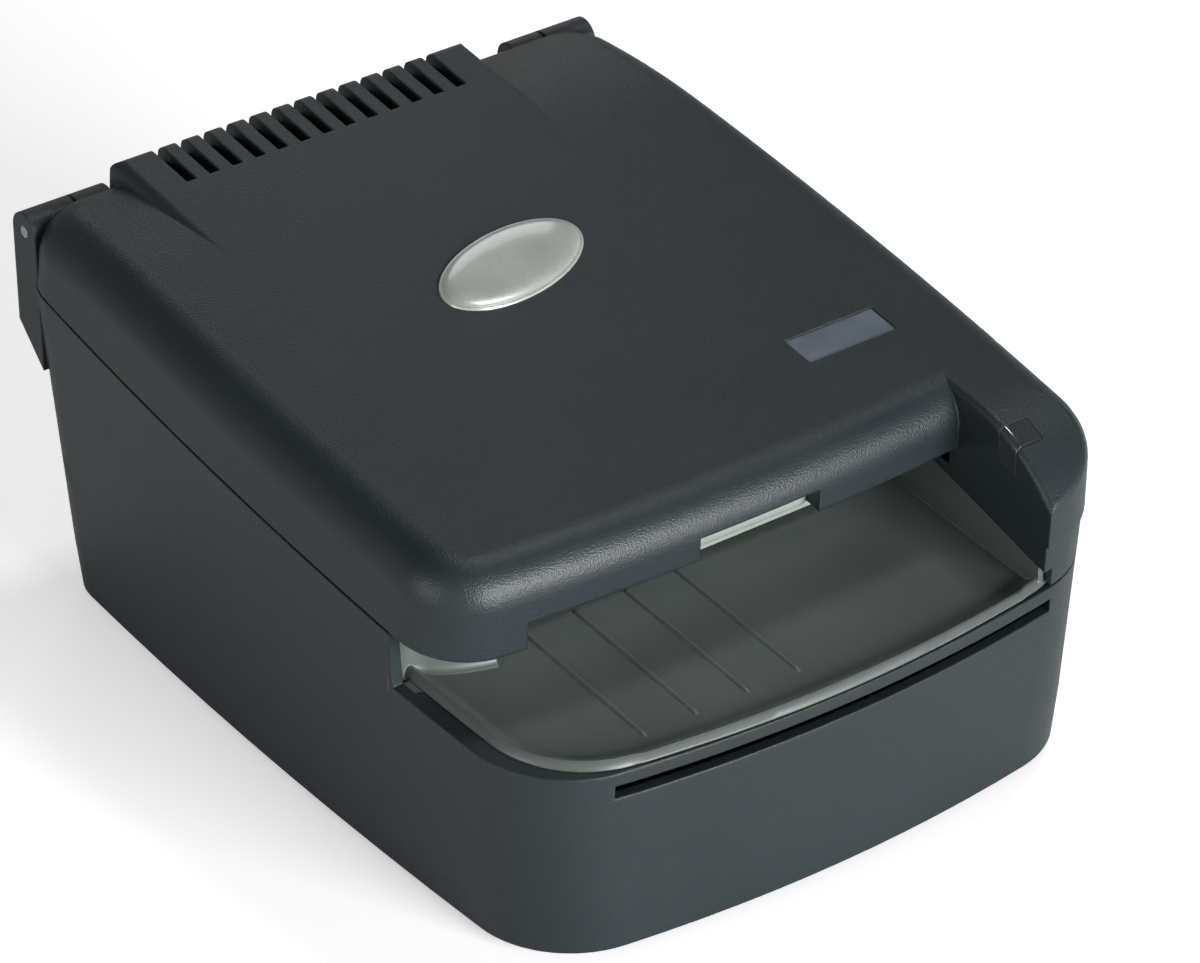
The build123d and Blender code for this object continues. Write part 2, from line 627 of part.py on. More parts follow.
def hinge_ears():
    """Round-topped ears behind the cover's rear corners."""
    ears = []
    root = seam_z(HINGE_Y) - 12
    for sign in (-1, 1):
        low, high = ear_span(sign, EAR_WIDTH - EAR_INSET, EAR_OUTER_X - EAR_INSET)
        ear = x_rod(HINGE_KNUCKLE_R, low, high, HINGE_Y, HINGE_Z)
        ear += block(low, high, HINGE_Y - HINGE_KNUCKLE_R, HINGE_Y + HINGE_KNUCKLE_R, root, HINGE_Z)
        foot = x_prism([(HINGE_Y - HINGE_KNUCKLE_R, root), (HINGE_Y + HINGE_KNUCKLE_R, root),
                        (HINGE_Y - HINGE_KNUCKLE_R, root - 2 * HINGE_KNUCKLE_R)], low, high)
        ears += [ear, foot]
    return ears


def corner_bosses():
    """Screw bosses in the corners, joined to the walls by ribs."""
    bosses = []
    low, high = pan_top(), pan_top() + SCREW_LENGTH + 4
    for x, y in screw_places():
        side = math.copysign(1, x)
        boss = Pos(x, y, (low + high) / 2) * Cylinder(BOSS_R, high - low)
        edge = side * (half_width_at(high) - bow_at(y) - WALL / 2)
        boss += block(min(x, edge), max(x, edge), y - 1, y + 1, low, high)
        pilot = Pos(x, y, low + SCREW_LENGTH / 2) * Cylinder(SCREW_R + SEAT_GAP, SCREW_LENGTH)
        bosses.append(boss - pilot)
    return bosses


def pan_top():
    return FOOT_DROP + PAN_THICK


def board_top():
    return pan_top() + BOARD_RISE + BOARD_THICK


def screw_places():
    return [(sx * SCREW_X, y) for sx in (-1, 1) for y in SCREW_YS]


def foot_places():
    return [(sx * FOOT_X, y) for sx in (-1, 1) for y in FOOT_YS]


def board_places():
    return [(sx * (BOARD_HALF_WIDTH - 5), y) for sx in (-1, 1) for y in (BOARD_FRONT_Y + 5, BOARD_REAR_Y - 9)]


def bottom_pan():
    pan = body_block(FOOT_DROP, pan_top(), WALL + PAN_GAP)
    for x, y in screw_places():
        pan -= Pos(x, y, FOOT_DROP + PAN_THICK / 2) * Cylinder(SCREW_R + 0.2, PAN_THICK + 1)
        pan -= Pos(x, y, FOOT_DROP + SCREW_HEAD / 2) * Cylinder(SCREW_HEAD_R + 0.3, SCREW_HEAD)
    for x, y in board_places():
        post = Pos(x, y, pan_top() + BOARD_RISE / 2) * Cylinder(BOSS_R - 0.8, BOARD_RISE)
        hole = Pos(x, y, pan_top() + BOARD_RISE / 2) * Cylinder(SCREW_R + SEAT_GAP, BOARD_RISE)
        pan += post - hole
    for index in range(PAN_VENTS):
        y = PAN_VENT_Y + index * PAN_VENT_PITCH
        pan -= Pos(0, y, FOOT_DROP + PAN_THICK / 2) * Box(PAN_VENT_LENGTH, PAN_VENT_WIDTH, PAN_THICK + 1)
    return pan


def rubber_feet():
    return [Pos(x, y, FOOT_DROP / 2) * Cylinder(FOOT_R, FOOT_DROP) for x, y in foot_places()]


def screw(length=SCREW_LENGTH):
    """Pan-head screw along +Z, with its head below z = 0."""
    head = fillet((Pos(0, 0, -SCREW_HEAD / 2) * Cylinder(SCREW_HEAD_R, SCREW_HEAD)).edges().sort_by(Axis.Z)[:1], 0.5)
    return head + Pos(0, 0, length / 2) * Cylinder(SCREW_R, length)


def housing_screws():
    return [Pos(x, y, FOOT_DROP + SCREW_HEAD) * screw() for x, y in screw_places()]


# ---------------------------------------------------------------- entry tray
def entry_tray():
    slab = tray_prism(0, -TRAY_THICK, TRAY_DISH)
    slab -= tray_prism(TRAY_RIM_WIDTH, 0, TRAY_DISH + 1)
    cut = block(-100, 100, TRAY_REAR_Y, 100, -20, 20)
    slab = slab - cut
    rib_rear = TRAY_REAR_Y - 3
    for index in range(TRAY_RIBS):
        x = TRAY_RIB_LEFT_X + index * TRAY_RIB_PITCH
        slab += block(x - TRAY_RIB_WIDTH / 2, x + TRAY_RIB_WIDTH / 2, TRAY_RIB_FRONT_Y, rib_rear,
                      -0.5, TRAY_RIB_HEIGHT)
    tray = paper_place() * slab
    return tray + corner_wall() + right_cheek()


def corner_wall():
    """Upright wall that follows the cover's left front corner."""
    front = (MOUTH_FRONT_Y, MOUTH_BOW, COVER_CORNER_R)
    inner_inset = CORNER_WALL_INSET + CORNER_WALL_THICK
    ring = extrude(cover_plan(*front, CORNER_WALL_INSET), amount=COVER_HEIGHT, dir=(0, 0, -1))
    ring -= extrude(cover_plan(*front, inner_inset), amount=COVER_HEIGHT, dir=(0, 0, -1))
    rear = WALL_STEP_Y - WALL_STEP_GAP
    zone = below_seam_zone(rear, FRONT_Y, -SEAM_HALF_WIDTH, MOUTH_LEFT_X)
    front_end = MOUTH_FRONT_Y + MOUTH_BOW + CORNER_WALL_INSET
    cheek = below_seam_zone(TRAY_REAR_Y, front_end, MOUTH_LEFT_X - CORNER_WALL_THICK, MOUTH_LEFT_X)
    beside = block(-SEAM_HALF_WIDTH, 0, FRONT_Y, rear + 5, -10, SHOULDER_RISE + SEAT_GAP)
    beside -= tray_prism(0, -11, 11)
    return (cover_place() * ring & zone) + cheek - paper_place() * beside


def below_seam_zone(rear, front, low_x, high_x):
    """Space between the tray and the seam, from the rear to the front."""
    return x_prism([(rear, tray_z(rear) - 1), (rear, seam_z(rear) - SEAM_GAP),
                    (front, seam_z(front) - SEAM_GAP), (front, tray_z(front) - 1)], low_x, high_x)


def right_cheek():
    """Sloping cheek under the arm's inner wall."""
    rear, front = TRAY_REAR_Y, FRONT_Y + 7
    inner = ARM_INNER_X + CHEEK_INSET
    return x_prism([(rear, tray_z(rear) - 1), (rear, arm_lower_z(rear) - CHEEK_GAP),
                    (front, arm_lower_z(front) - CHEEK_GAP), (front, tray_z(front) - 1)],
                   inner, inner + CHEEK_THICK)


# ---------------------------------------------------------------- paper bed and chassis
def feed_axis(row):
    """Y and Z of a feed shaft in the paper frame; row is -1 in front and 1 at the rear."""
    return row * ROLLER_SPAN / 2, ROLLER_PROUD - ROLLER_R


def idler_axis():
    reach = MODULE * (FEED_TEETH + IDLER_TEETH) / 2
    return 0.0, ROLLER_PROUD - ROLLER_R - math.sqrt(reach ** 2 - (ROLLER_SPAN / 2) ** 2)


def pinion_axis():
    reach = MODULE * (IDLER_TEETH + PINION_TEETH) / 2
    angle = math.radians(PINION_ANGLE)
    y, z = idler_axis()
    return y + reach * math.cos(angle), z + reach * math.sin(angle)


def pinch_axis(row):
    y, z = feed_axis(row)
    return y, z + ROLLER_R + PINCH_GAP + PINCH_R


def to_body(y, z):
    """Y and Z in the scanner's frame of a point of the paper frame."""
    angle = math.atan(TRAY_SLOPE)
    return (y * math.cos(angle) - z * math.sin(angle),
            TRAY_HEIGHT + y * math.sin(angle) + z * math.cos(angle))


def paper_bed():
    bed = block(-BED_HALF_WIDTH, BED_HALF_WIDTH, TRAY_REAR_Y + TRAY_GAP, BED_REAR_Y, -BED_THICK, 0)
    for row in (-1, 1):
        y, z = feed_axis(row)
        reach = math.sqrt(ROLLER_R ** 2 - (z + BED_THICK) ** 2) + WINDOW_GAP
        for x in (-ROLLER_X, ROLLER_X):
            half = ROLLER_WIDTH / 2 + WINDOW_GAP
            bed -= block(x - half, x + half, y - reach, y + reach, -BED_THICK - 1, 1)
    width, depth, _ = HEAD_SIZE
    bed -= block(HEAD_X - width / 2 - WINDOW_GAP / 2, HEAD_X + width / 2 + WINDOW_GAP / 2,
                 HEAD_Y - depth / 2 - WINDOW_GAP / 2, HEAD_Y + depth / 2 + WINDOW_GAP / 2, -BED_THICK - 1, 1)
    for x in range(-3, 4):
        rib_x = x * BED_RIB_PITCH
        if abs(abs(rib_x) - ROLLER_X) > ROLLER_WIDTH / 2 + WINDOW_GAP + 1:
            bed += block(rib_x - 0.5, rib_x + 0.5, SENSOR_Y + SENSOR_DEPTH, BED_REAR_Y - 6, -0.5, 0.4)
    return paper_place() * bed


def side_plate(sign):
    """Steel chassis plate with holes for the bushes and a flange on the bottom plate."""
    low, high = sorted((sign * SIDE_PLATE_X, sign * (SIDE_PLATE_X + SIDE_PLATE_THICK)))
    front, rear = SIDE_PLATE_FRONT_Y, SIDE_PLATE_REAR_Y
    top_front = to_body(front, -BED_THICK)
    top_rear = to_body(rear, -BED_THICK)
    plate = x_prism([(front, pan_top()), (rear, pan_top()), (rear, top_rear[1]), (front, top_front[1])],
                    low, high)
    inner, outer = sorted((sign * (SIDE_PLATE_X - SIDE_FLANGE), sign * SIDE_PLATE_X))
    plate += block(inner, outer, front + 6, FLANGE_REAR_Y, pan_top(), pan_top() + SIDE_PLATE_THICK)
    for row in (-1, 1):
        plate -= x_rod(BUSH_R + SEAT_GAP, low - 1, high + 1, *to_body(*feed_axis(row)))
    if sign < 0:
        plate -= x_rod(PINION_TEETH * MODULE / 2 - 1, low - 1, high + 1, *to_body(*pinion_axis()))
        plate -= x_rod(IDLER_STUD_R + SEAT_GAP, low - 1, high + 1, *to_body(*idler_axis()))
    else:
        plate -= block(low - 1, high + 1, -6, 20, 14, 32)
    return plate


def shaft_bushes():
    """Flanged bushes, two for each feed shaft."""
    bushes = []
    for row in (-1, 1):
        y, z = to_body(*feed_axis(row))
        for sign in (-1, 1):
            inner = sign * (SIDE_PLATE_X - BUSH_FLANGE)
            outer = sign * (SIDE_PLATE_X - BUSH_FLANGE + BUSH_LENGTH)
            bush = x_rod(BUSH_R, *sorted((inner, outer)), y, z)
            bush += x_rod(BUSH_FLANGE_R, *sorted((inner, sign * SIDE_PLATE_X)), y, z)
            bushes.append(bush - x_rod(SHAFT_R + RUNNING_GAP, *sorted((inner - sign, outer + sign)), y, z))
    return bushes


def feed_shaft(row):
    y, z = to_body(*feed_axis(row))
    shaft = x_rod(SHAFT_R, SHAFT_LEFT_X, SHAFT_RIGHT_X, y, z)
    return chamfer(shaft.edges().filter_by(GeomType.CIRCLE), 0.4)


def feed_tyres(row):
    """Rubber sleeves of one feed shaft."""
    y, z = to_body(*feed_axis(row))
    tyres = []
    for x in (-ROLLER_X, ROLLER_X):
        tyre = x_rod(ROLLER_R, x - ROLLER_WIDTH / 2, x + ROLLER_WIDTH / 2, y, z)
        tyre = fillet(tyre.edges().filter_by(GeomType.CIRCLE), 0.6)
        tyres.append(tyre - x_rod(SHAFT_R, x - ROLLER_WIDTH, x + ROLLER_WIDTH, y, z))
    return tyres


# ---------------------------------------------------------------- gears and motor
def tooth_points(teeth):
    """Outline of a spur gear with straight-sided teeth near the involute."""
    pitch, tip, root = MODULE * teeth / 2, MODULE * (teeth / 2 + 1), MODULE * (teeth / 2 - 1.25)
    half_pitch = (math.pi * MODULE / 2 - BACKLASH) / 2 / pitch
    slope = math.tan(math.radians(20))
    half_tip = half_pitch - MODULE * slope / pitch * TIP_EASE
    half_root = half_pitch + 1.25 * MODULE * slope / pitch * ROOT_EASE
    points = []
    for index in range(teeth):
        middle = 2 * math.pi * index / teeth
        for radius, offset in ((root, -half_root), (pitch, -half_pitch), (tip, -half_tip),
                               (tip, half_tip), (pitch, half_pitch), (root, half_root)):
            points.append((radius * math.cos(middle + offset), radius * math.sin(middle + offset)))
    return points


def spur_gear(teeth, bore, axis, turn):
    """Gear about an X axis at a place of the paper frame, turned by so many teeth."""
    blank = extrude(make_face(Polyline(*tooth_points(teeth), close=True)), amount=GEAR_WIDTH, dir=(0, 0, 1))
    pitch = MODULE * teeth / 2
    if teeth > PINION_TEETH:
        web = Cylinder(pitch - 3, GEAR_WIDTH) - Cylinder(bore + 2.5, GEAR_WIDTH)
        blank -= Pos(0, 0, GEAR_WIDTH * 1.25) * web
    blank -= Pos(0, 0, GEAR_WIDTH / 2) * Cylinder(bore, GEAR_WIDTH + 1)
    y, z = to_body(*axis)
    spin = Rot(0, 0, math.degrees(turn) + math.degrees(math.atan(TRAY_SLOPE)))
    return Pos(GEAR_LEFT_X, y, z) * Rot(0, 90, 0) * Rot(0, 0, 90) * spin * blank


def line_angle(start, end):
    return math.atan2(end[1] - start[1], end[0] - start[0])


def mesh_turns():
    """Turn of each gear so that a tooth of one meets a gap of the next."""
    idler = idler_axis()
    turns = {"idler": 0.0}
    for name, axis, teeth in (("front", feed_axis(-1), FEED_TEETH), ("rear", feed_axis(1), FEED_TEETH),
                              ("pinion", pinion_axis(), PINION_TEETH)):
        angle = line_angle(idler, axis)
        phase = angle / (2 * math.pi / IDLER_TEETH) % 1
        step = 2 * math.pi / teeth
        turns[name] = angle + math.pi + step * (phase + 0.5)
    return turns


def idler_stud():
    """Headed stud that the idler turns on, riveted into the left chassis plate."""
    y, z = to_body(*idler_axis())
    stud = x_rod(IDLER_STUD_R, GEAR_LEFT_X - 0.3, -SIDE_PLATE_X + 0.5, y, z)
    stud += x_rod(IDLER_STUD_R + 1.5, GEAR_LEFT_X - 1.5, GEAR_LEFT_X - 0.3, y, z)
    return stud + x_rod(IDLER_STUD_R + 1.5, -SIDE_PLATE_X + SEAT_GAP, -SIDE_PLATE_X + 1, y, z)


def stepper_motor():
    """Motor can with its mounting flange, on the inside of the left chassis plate."""
    y, z = to_body(*pinion_axis())
    face = -SIDE_PLATE_X + SEAT_GAP
    can = x_rod(MOTOR_R, face, face + MOTOR_LENGTH, y, z)
    can = fillet(can.edges().sort_by(Axis.X)[-1:], 1.5)
    flange = block(face, face + 1.2, y - MOTOR_FLANGE / 2, y + MOTOR_FLANGE / 2, z - 4.5, z + 4.5)
    boss = x_rod(PINION_TEETH * MODULE / 2 - 1.2, face - SIDE_PLATE_THICK, face, y, z)
    bore = x_rod(MOTOR_SHAFT_R + RUNNING_GAP, face - 5, face + MOTOR_LENGTH - 3, y, z)
    return can + fillet(flange.edges().filter_by(Axis.X), 4) + boss - bore


def motor_shaft():
    y, z = to_body(*pinion_axis())
    return x_rod(MOTOR_SHAFT_R, GEAR_LEFT_X - 1, -SIDE_PLATE_X + MOTOR_LENGTH - 4, y, z)


# ---------------------------------------------------------------- read head, board and sockets
def read_head():
    """Magnetic read head with a crowned face, flush with the bed."""
    width, depth, height = HEAD_SIZE
    body = block(HEAD_X - width / 2, HEAD_X + width / 2, HEAD_Y - depth / 2, HEAD_Y + depth / 2, -height, 0)
    crown = Pos(HEAD_X, HEAD_Y, HEAD_CROWN_R * -1) * Rot(0, 90, 0) * Cylinder(HEAD_CROWN_R, width)
    return paper_place() * (body & (crown + block(0, 90, -90, 90, -height, -3)))


def head_bracket():
    """Spring-steel bracket that carries the read head on the right chassis plate."""
    width, depth, height = HEAD_SIZE
    under = block(HEAD_X - width / 2, SIDE_PLATE_X - SEAT_GAP, HEAD_Y - depth / 2, HEAD_Y + depth / 2,
                  -height - BRACKET_THICK, -height)
    wall = block(SIDE_PLATE_X - SEAT_GAP - BRACKET_THICK, SIDE_PLATE_X - SEAT_GAP, HEAD_Y - depth / 2,
                 HEAD_Y + depth / 2, -height - 7, -height)
    return paper_place() * (under + wall)


def circuit_board():
    board = block(-BOARD_HALF_WIDTH, BOARD_HALF_WIDTH, BOARD_FRONT_Y, BOARD_REAR_Y,
                  board_top() - BOARD_THICK, board_top())
    for x, y in board_places():
        board -= Pos(x, y, board_top()) * Cylinder(SCREW_R + 0.2, 4 * BOARD_THICK)
    return board


def board_parts():
    """Chips and capacitors on the board."""
    top = board_top()
    parts = [block(x, x + w, y, y + d, top, top + h) for x, y, w, d, h in CHIPS]
    parts += [Pos(x, y, top + CAPACITOR_HEIGHT / 2) * Cylinder(CAPACITOR_R, CAPACITOR_HEIGHT)
              for x, y in CAPACITORS]
    return parts


def board_screws():
    return [Pos(x, y, board_top()) * Rot(180, 0, 0) * screw(BOARD_SCREW) for x, y in board_places()]


def socket(x, width, height, depth, hollow_depth):
    """Connector shell on the board, open at the rear."""
    rear = BOARD_REAR_Y + SOCKET_REACH
    body = block(x - width / 2, x + width / 2, rear - depth, rear, board_top(), board_top() + height)
    hollow = block(x - width / 2 + SOCKET_WALL, x + width / 2 - SOCKET_WALL, rear - hollow_depth, rear + 1,
                   board_top() + SOCKET_WALL, board_top() + height - SOCKET_WALL)
    tongue = block(x - width / 4, x + width / 4, rear - hollow_depth - 0.5, rear - 1.5,
                   board_top() + height / 2 - 1, board_top() + height / 2 + 1)
    return body - hollow + tongue


# ---------------------------------------------------------------- what the cover carries
def guide_section():
    """Side view of the upper guide: nose, groove, beam and plate."""
    low, thin = GUIDE_GAP, GUIDE_GAP + GUIDE_THICK
    nose, rear = GUIDE_NOSE_Y, GUIDE_REAR_Y
    groove = thin + GUIDE_GROOVE
    return [(nose, low), (nose, thin - 0.4), (nose + 5, thin), (nose + 5, groove), (nose + 0.5, groove),
            (nose + 0.5, groove + GUIDE_BEAM), (nose + 2.3, groove + GUIDE_BEAM), (nose + 2.3, groove + 1.8),
            (nose + 7, groove + 1.8), (nose + 7, thin), (rear - 4, thin), (rear, thin + 3),
            (rear, thin + 1.4), (rear - 4, low)]


def upper_guide():
    """Light plate over the paper, with roller windows and bearing ears."""
    guide = x_prism(guide_section(), -GUIDE_HALF_WIDTH, GUIDE_HALF_WIDTH)
    low = GUIDE_GAP
    for row in (-1, 1):
        y, z = pinch_axis(row)
        half = ROLLER_WIDTH / 2 + WINDOW_GAP
        reach = PINCH_R + 1
        for x in (-ROLLER_X, ROLLER_X):
            guide -= block(x - half, x + half, y - reach, y + reach, low - 1, low + GUIDE_THICK + 0.01)
        for sign in (-1, 1):
            near, far = sorted((sign * PINCH_EAR_X, sign * (PINCH_EAR_X + PINCH_EAR)))
            ear = block(near, far, y - 4, y + 4, low + 0.5, z + 4)
            guide += fillet(ear.edges().filter_by(Axis.X).sort_by(Axis.Z)[-2:], 3)
        guide -= x_rod(PINCH_AXLE_R + RUNNING_GAP, -PINCH_EAR_X - 5, PINCH_EAR_X + 5, y, z)
    for x, y in post_places():
        guide += Pos(x, y, low + GUIDE_BOSS / 2) * Cylinder(GUIDE_BOSS_R, GUIDE_BOSS)
        guide -= Pos(x, y, low + SCREW_SUNK / 2) * Cylinder(SCREW_HEAD_R + 0.3, SCREW_SUNK)
        guide -= Pos(x, y, low + GUIDE_BOSS / 2) * Cylinder(SCREW_R + SEAT_GAP, GUIDE_BOSS + 1)
    guide -= block(-SENSOR_HALF_WIDTH - SENSOR_GAP, SENSOR_HALF_WIDTH + SENSOR_GAP, SENSOR_Y - SENSOR_GAP,
                   SENSOR_Y + SENSOR_DEPTH + SENSOR_GAP, low - 1, low + GUIDE_THICK + 1)
    return paper_place() * guide


def pinch_axle(row):
    y, z = to_body(*pinch_axis(row))
    return x_rod(PINCH_AXLE_R, -PINCH_EAR_X - PINCH_EAR - 1.5, PINCH_EAR_X + PINCH_EAR + 1.5, y, z)


def pinch_tyres(row):
    y, z = to_body(*pinch_axis(row))
    tyres = []
    for x in (-ROLLER_X, ROLLER_X):
        tyre = x_rod(PINCH_R, x - ROLLER_WIDTH / 2, x + ROLLER_WIDTH / 2, y, z)
        tyre = fillet(tyre.edges().filter_by(GeomType.CIRCLE), 0.5)
        tyres.append(tyre - x_rod(PINCH_AXLE_R, x - ROLLER_WIDTH, x + ROLLER_WIDTH, y, z))
    return tyres


def image_sensor():
    """Contact image sensor bar that looks down through the upper guide."""
    low = GUIDE_GAP + GLASS_THICK
    bar = block(-SENSOR_HALF_WIDTH, SENSOR_HALF_WIDTH, SENSOR_Y, SENSOR_Y + SENSOR_DEPTH, low,
                low + SENSOR_HEIGHT)
    for sign in (-1, 1):
        near, far = sorted((sign * SENSOR_HALF_WIDTH, sign * (SENSOR_HALF_WIDTH + 2.5)))
        bar += block(near, far, SENSOR_Y + 3, SENSOR_Y + SENSOR_DEPTH - 3, GUIDE_GAP + GUIDE_THICK,
                     low + SENSOR_HEIGHT)
    return paper_place() * bar


def sensor_glass():
    return paper_place() * block(-SENSOR_HALF_WIDTH, SENSOR_HALF_WIDTH, SENSOR_Y, SENSOR_Y + SENSOR_DEPTH,
                                 GUIDE_GAP, GUIDE_GAP + GLASS_THICK)


def post_places():
    return [(x, y) for x in (-POST_X, POST_X) for y in POST_YS]


def guide_posts():
    """Posts under the cover's top that the upper guide is screwed to."""
    foot = GUIDE_GAP + GUIDE_BOSS
    posts = []
    for x, y in post_places():
        post = Pos(x, y, foot + POST_LENGTH / 2) * Cylinder(POST_R, POST_LENGTH)
        post -= Pos(x, y, foot + GUIDE_SCREW / 2) * Cylinder(SCREW_R + SEAT_GAP, GUIDE_SCREW)
        posts.append(paper_place() * post)
    return posts


def guide_screws():
    head_top = GUIDE_GAP + SCREW_SUNK
    return [paper_place() * Pos(x, y, head_top) * screw(GUIDE_SCREW) for x, y in post_places()]


def hinge_pins():
    pins = []
    for sign in (-1, 1):
        outer = EAR_OUTER_X - EAR_INSET
        inner = EAR_OUTER_X - EAR_WIDTH - HINGE_SIDE_GAP - KNUCKLE_WIDTH
        pins.append(x_rod(HINGE_PIN_R, *sorted((sign * inner, sign * outer)), HINGE_Y, HINGE_Z))
    return pins


def badge():
    """Slightly domed oval disc."""
    disc = badge_form(TRIM_CLEARANCE, BADGE_DOME)
    rim = disc.edges().sort_by(Axis.Z)[-1:]
    return cover_place() * fillet(rim, BADGE_DOME)


# ---------------------------------------------------------------- all pieces
def pieces():
    turns = mesh_turns()
    shaft_bore = SHAFT_R
    nodes = {
        "base_housing": base_housing(), "bottom_pan": bottom_pan(), "rubber_feet": rubber_feet(),
        "housing_screws": housing_screws(), "entry_tray": entry_tray(), "paper_bed": paper_bed(),
        "chassis_left": side_plate(-1), "chassis_right": side_plate(1), "shaft_bushes": shaft_bushes(),
        "idler_stud": idler_stud(), "stepper_motor": stepper_motor(), "read_head": read_head(),
        "head_bracket": head_bracket(), "circuit_board": circuit_board(), "board_parts": board_parts(),
        "board_screws": board_screws(), "hinge_pins": hinge_pins(),
        "idler_gear": spur_gear(IDLER_TEETH, IDLER_STUD_R + RUNNING_GAP, idler_axis(), turns["idler"]),
        "motor_shaft": motor_shaft(),
        "motor_pinion": spur_gear(PINION_TEETH, MOTOR_SHAFT_R, pinion_axis(), turns["pinion"]),
        "top_cover": cover_shell(), "oval_badge": badge(),
        "name_plate": cover_place() * plate_form(TRIM_CLEARANCE, PLATE_THICK),
        "light_pipe": light_pipe(), "upper_guide": upper_guide(), "image_sensor": image_sensor(),
        "sensor_glass": sensor_glass(), "guide_screws": guide_screws()}
    for row, name in ((-1, "front"), (1, "rear")):
        nodes[name + "_feed_shaft"] = feed_shaft(row)
        nodes[name + "_feed_tyres"] = feed_tyres(row)
        nodes[name + "_feed_gear"] = spur_gear(FEED_TEETH, shaft_bore, feed_axis(row), turns[name])
        nodes[name + "_pinch_axle"] = pinch_axle(row)
        nodes[name + "_pinch_tyres"] = pinch_tyres(row)
    for name, *sizes in SOCKETS:
        nodes[name] = socket(*sizes)
    return nodes


def main():
    os.makedirs("parts", exist_ok=True)
    for name, shape in pieces().items():
        shapes = shape if isinstance(shape, list) else [shape]
        moved = [Pos(0, ORIGIN_SHIFT, 0) * one for one in shapes]
        solids = Compound(children=moved) if len(moved) > 1 else moved[0]
        export_step(solids, os.path.join("parts", name + ".step"))
        print(name, round(solids.volume))


if __name__ == "__main__":
    main()
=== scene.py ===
import math

import bmesh
import bpy
from mathutils import Matrix, Vector


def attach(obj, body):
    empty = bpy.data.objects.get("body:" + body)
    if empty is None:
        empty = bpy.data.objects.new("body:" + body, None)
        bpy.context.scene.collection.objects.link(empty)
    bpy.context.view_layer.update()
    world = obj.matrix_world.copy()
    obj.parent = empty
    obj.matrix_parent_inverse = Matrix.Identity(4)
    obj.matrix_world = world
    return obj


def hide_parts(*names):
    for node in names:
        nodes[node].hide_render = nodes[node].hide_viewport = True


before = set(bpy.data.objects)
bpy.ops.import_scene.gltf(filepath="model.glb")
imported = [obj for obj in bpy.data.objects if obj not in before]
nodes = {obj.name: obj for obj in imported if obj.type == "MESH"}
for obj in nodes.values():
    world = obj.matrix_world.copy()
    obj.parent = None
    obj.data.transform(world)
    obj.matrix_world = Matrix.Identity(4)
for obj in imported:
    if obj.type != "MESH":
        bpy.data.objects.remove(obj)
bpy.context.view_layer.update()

mm = 0.001
originShift = 3.83  # mm from the drawing's zero to the middle of the depth
sharpAngle = 0.6  # radians between two faces from which their edge stays crisp
mergeDistance = 1e-6
print("frame loaded,", len(nodes), "nodes")


# small helpers
def linear(red, green, blue):  # 0-255 screen colour to a linear colour
    def one(value):
        value /= 255
        return value / 12.92 if value <= 0.04045 else ((value + 0.055) / 1.055) ** 2.4
    return (one(red), one(green), one(blue), 1.0)


def link(tree, source, sourceSocket, target, targetSocket):
    tree.links.new(source.outputs[sourceSocket], target.inputs[targetSocket])


def addNode(tree, kind, x, y, **settings):
    node = tree.nodes.new(kind)
    node.location = (x, y)
    for key, value in settings.items():
        setattr(node, key, value)
    return node


def setInputs(node, **values):
    for key, value in values.items():
        node.inputs[key.replace("_", " ")].default_value = value


def feedInputs(tree, node, values):  # numbers are set, sockets are linked
    for index, value in enumerate(values):
        if isinstance(value, (int, float)):
            node.inputs[index].default_value = value
        else:
            tree.links.new(value, node.inputs[index])
    return node.outputs[0]


def mathNode(tree, operation, x, y, *values):
    return feedInputs(tree, addNode(tree, "ShaderNodeMath", x, y, operation=operation), values)


def vectorNode(tree, x, y, *values):
    return feedInputs(tree, addNode(tree, "ShaderNodeCombineXYZ", x, y), values)


# shader node groups that several finishes share
def newShaderGroup(name, inputs, outputs):
    group = bpy.data.node_groups.new(name, "ShaderNodeTree")
    for label, kind, value in inputs:
        socket = group.interface.new_socket(label, in_out="INPUT", socket_type=kind)
        if value is not None:
            socket.default_value = value
    for label, kind in outputs:
        group.interface.new_socket(label, in_out="OUTPUT", socket_type=kind)
    start = addNode(group, "NodeGroupInput", -900, 0)
    end = addNode(group, "NodeGroupOutput", 700, 0)
    return group, start, end


def makeGrainGroup():  # moulded texture: fine pits over slow waves of tone
    group, start, end = newShaderGroup(
        "mouldGrain",
        [("Position", "NodeSocketVector", None), ("Grain Size", "NodeSocketFloat", 0.4),
         ("Patch Size", "NodeSocketFloat", 30.0)],
        [("Height", "NodeSocketFloat"), ("Patches", "NodeSocketFloat"), ("Speckle", "NodeSocketFloat")])
    fineScale = mathNode(group, "DIVIDE", -700, 200, 1 / mm, start.outputs["Grain Size"])
    patchScale = mathNode(group, "DIVIDE", -700, -200, 1 / mm, start.outputs["Patch Size"])
    pits = addNode(group, "ShaderNodeTexVoronoi", -450, 300, feature="SMOOTH_F1")
    setInputs(pits, Smoothness=0.6)
    grit = addNode(group, "ShaderNodeTexNoise", -450, 50)
    setInputs(grit, Detail=3.0, Roughness=0.6)
    patches = addNode(group, "ShaderNodeTexNoise", -450, -250)
    setInputs(patches, Detail=3.0, Roughness=0.55)
    for texture, scale in ((pits, fineScale), (grit, fineScale), (patches, patchScale)):
        link(group, start, "Position", texture, "Vector")
        group.links.new(scale, texture.inputs["Scale"])
    height = mathNode(group, "ADD", -150, 200, pits.outputs["Distance"], grit.outputs["Fac"])
    group.links.new(height, end.inputs["Height"])
    link(group, patches, "Fac", end, "Patches")
    link(group, grit, "Fac", end, "Speckle")
    return group


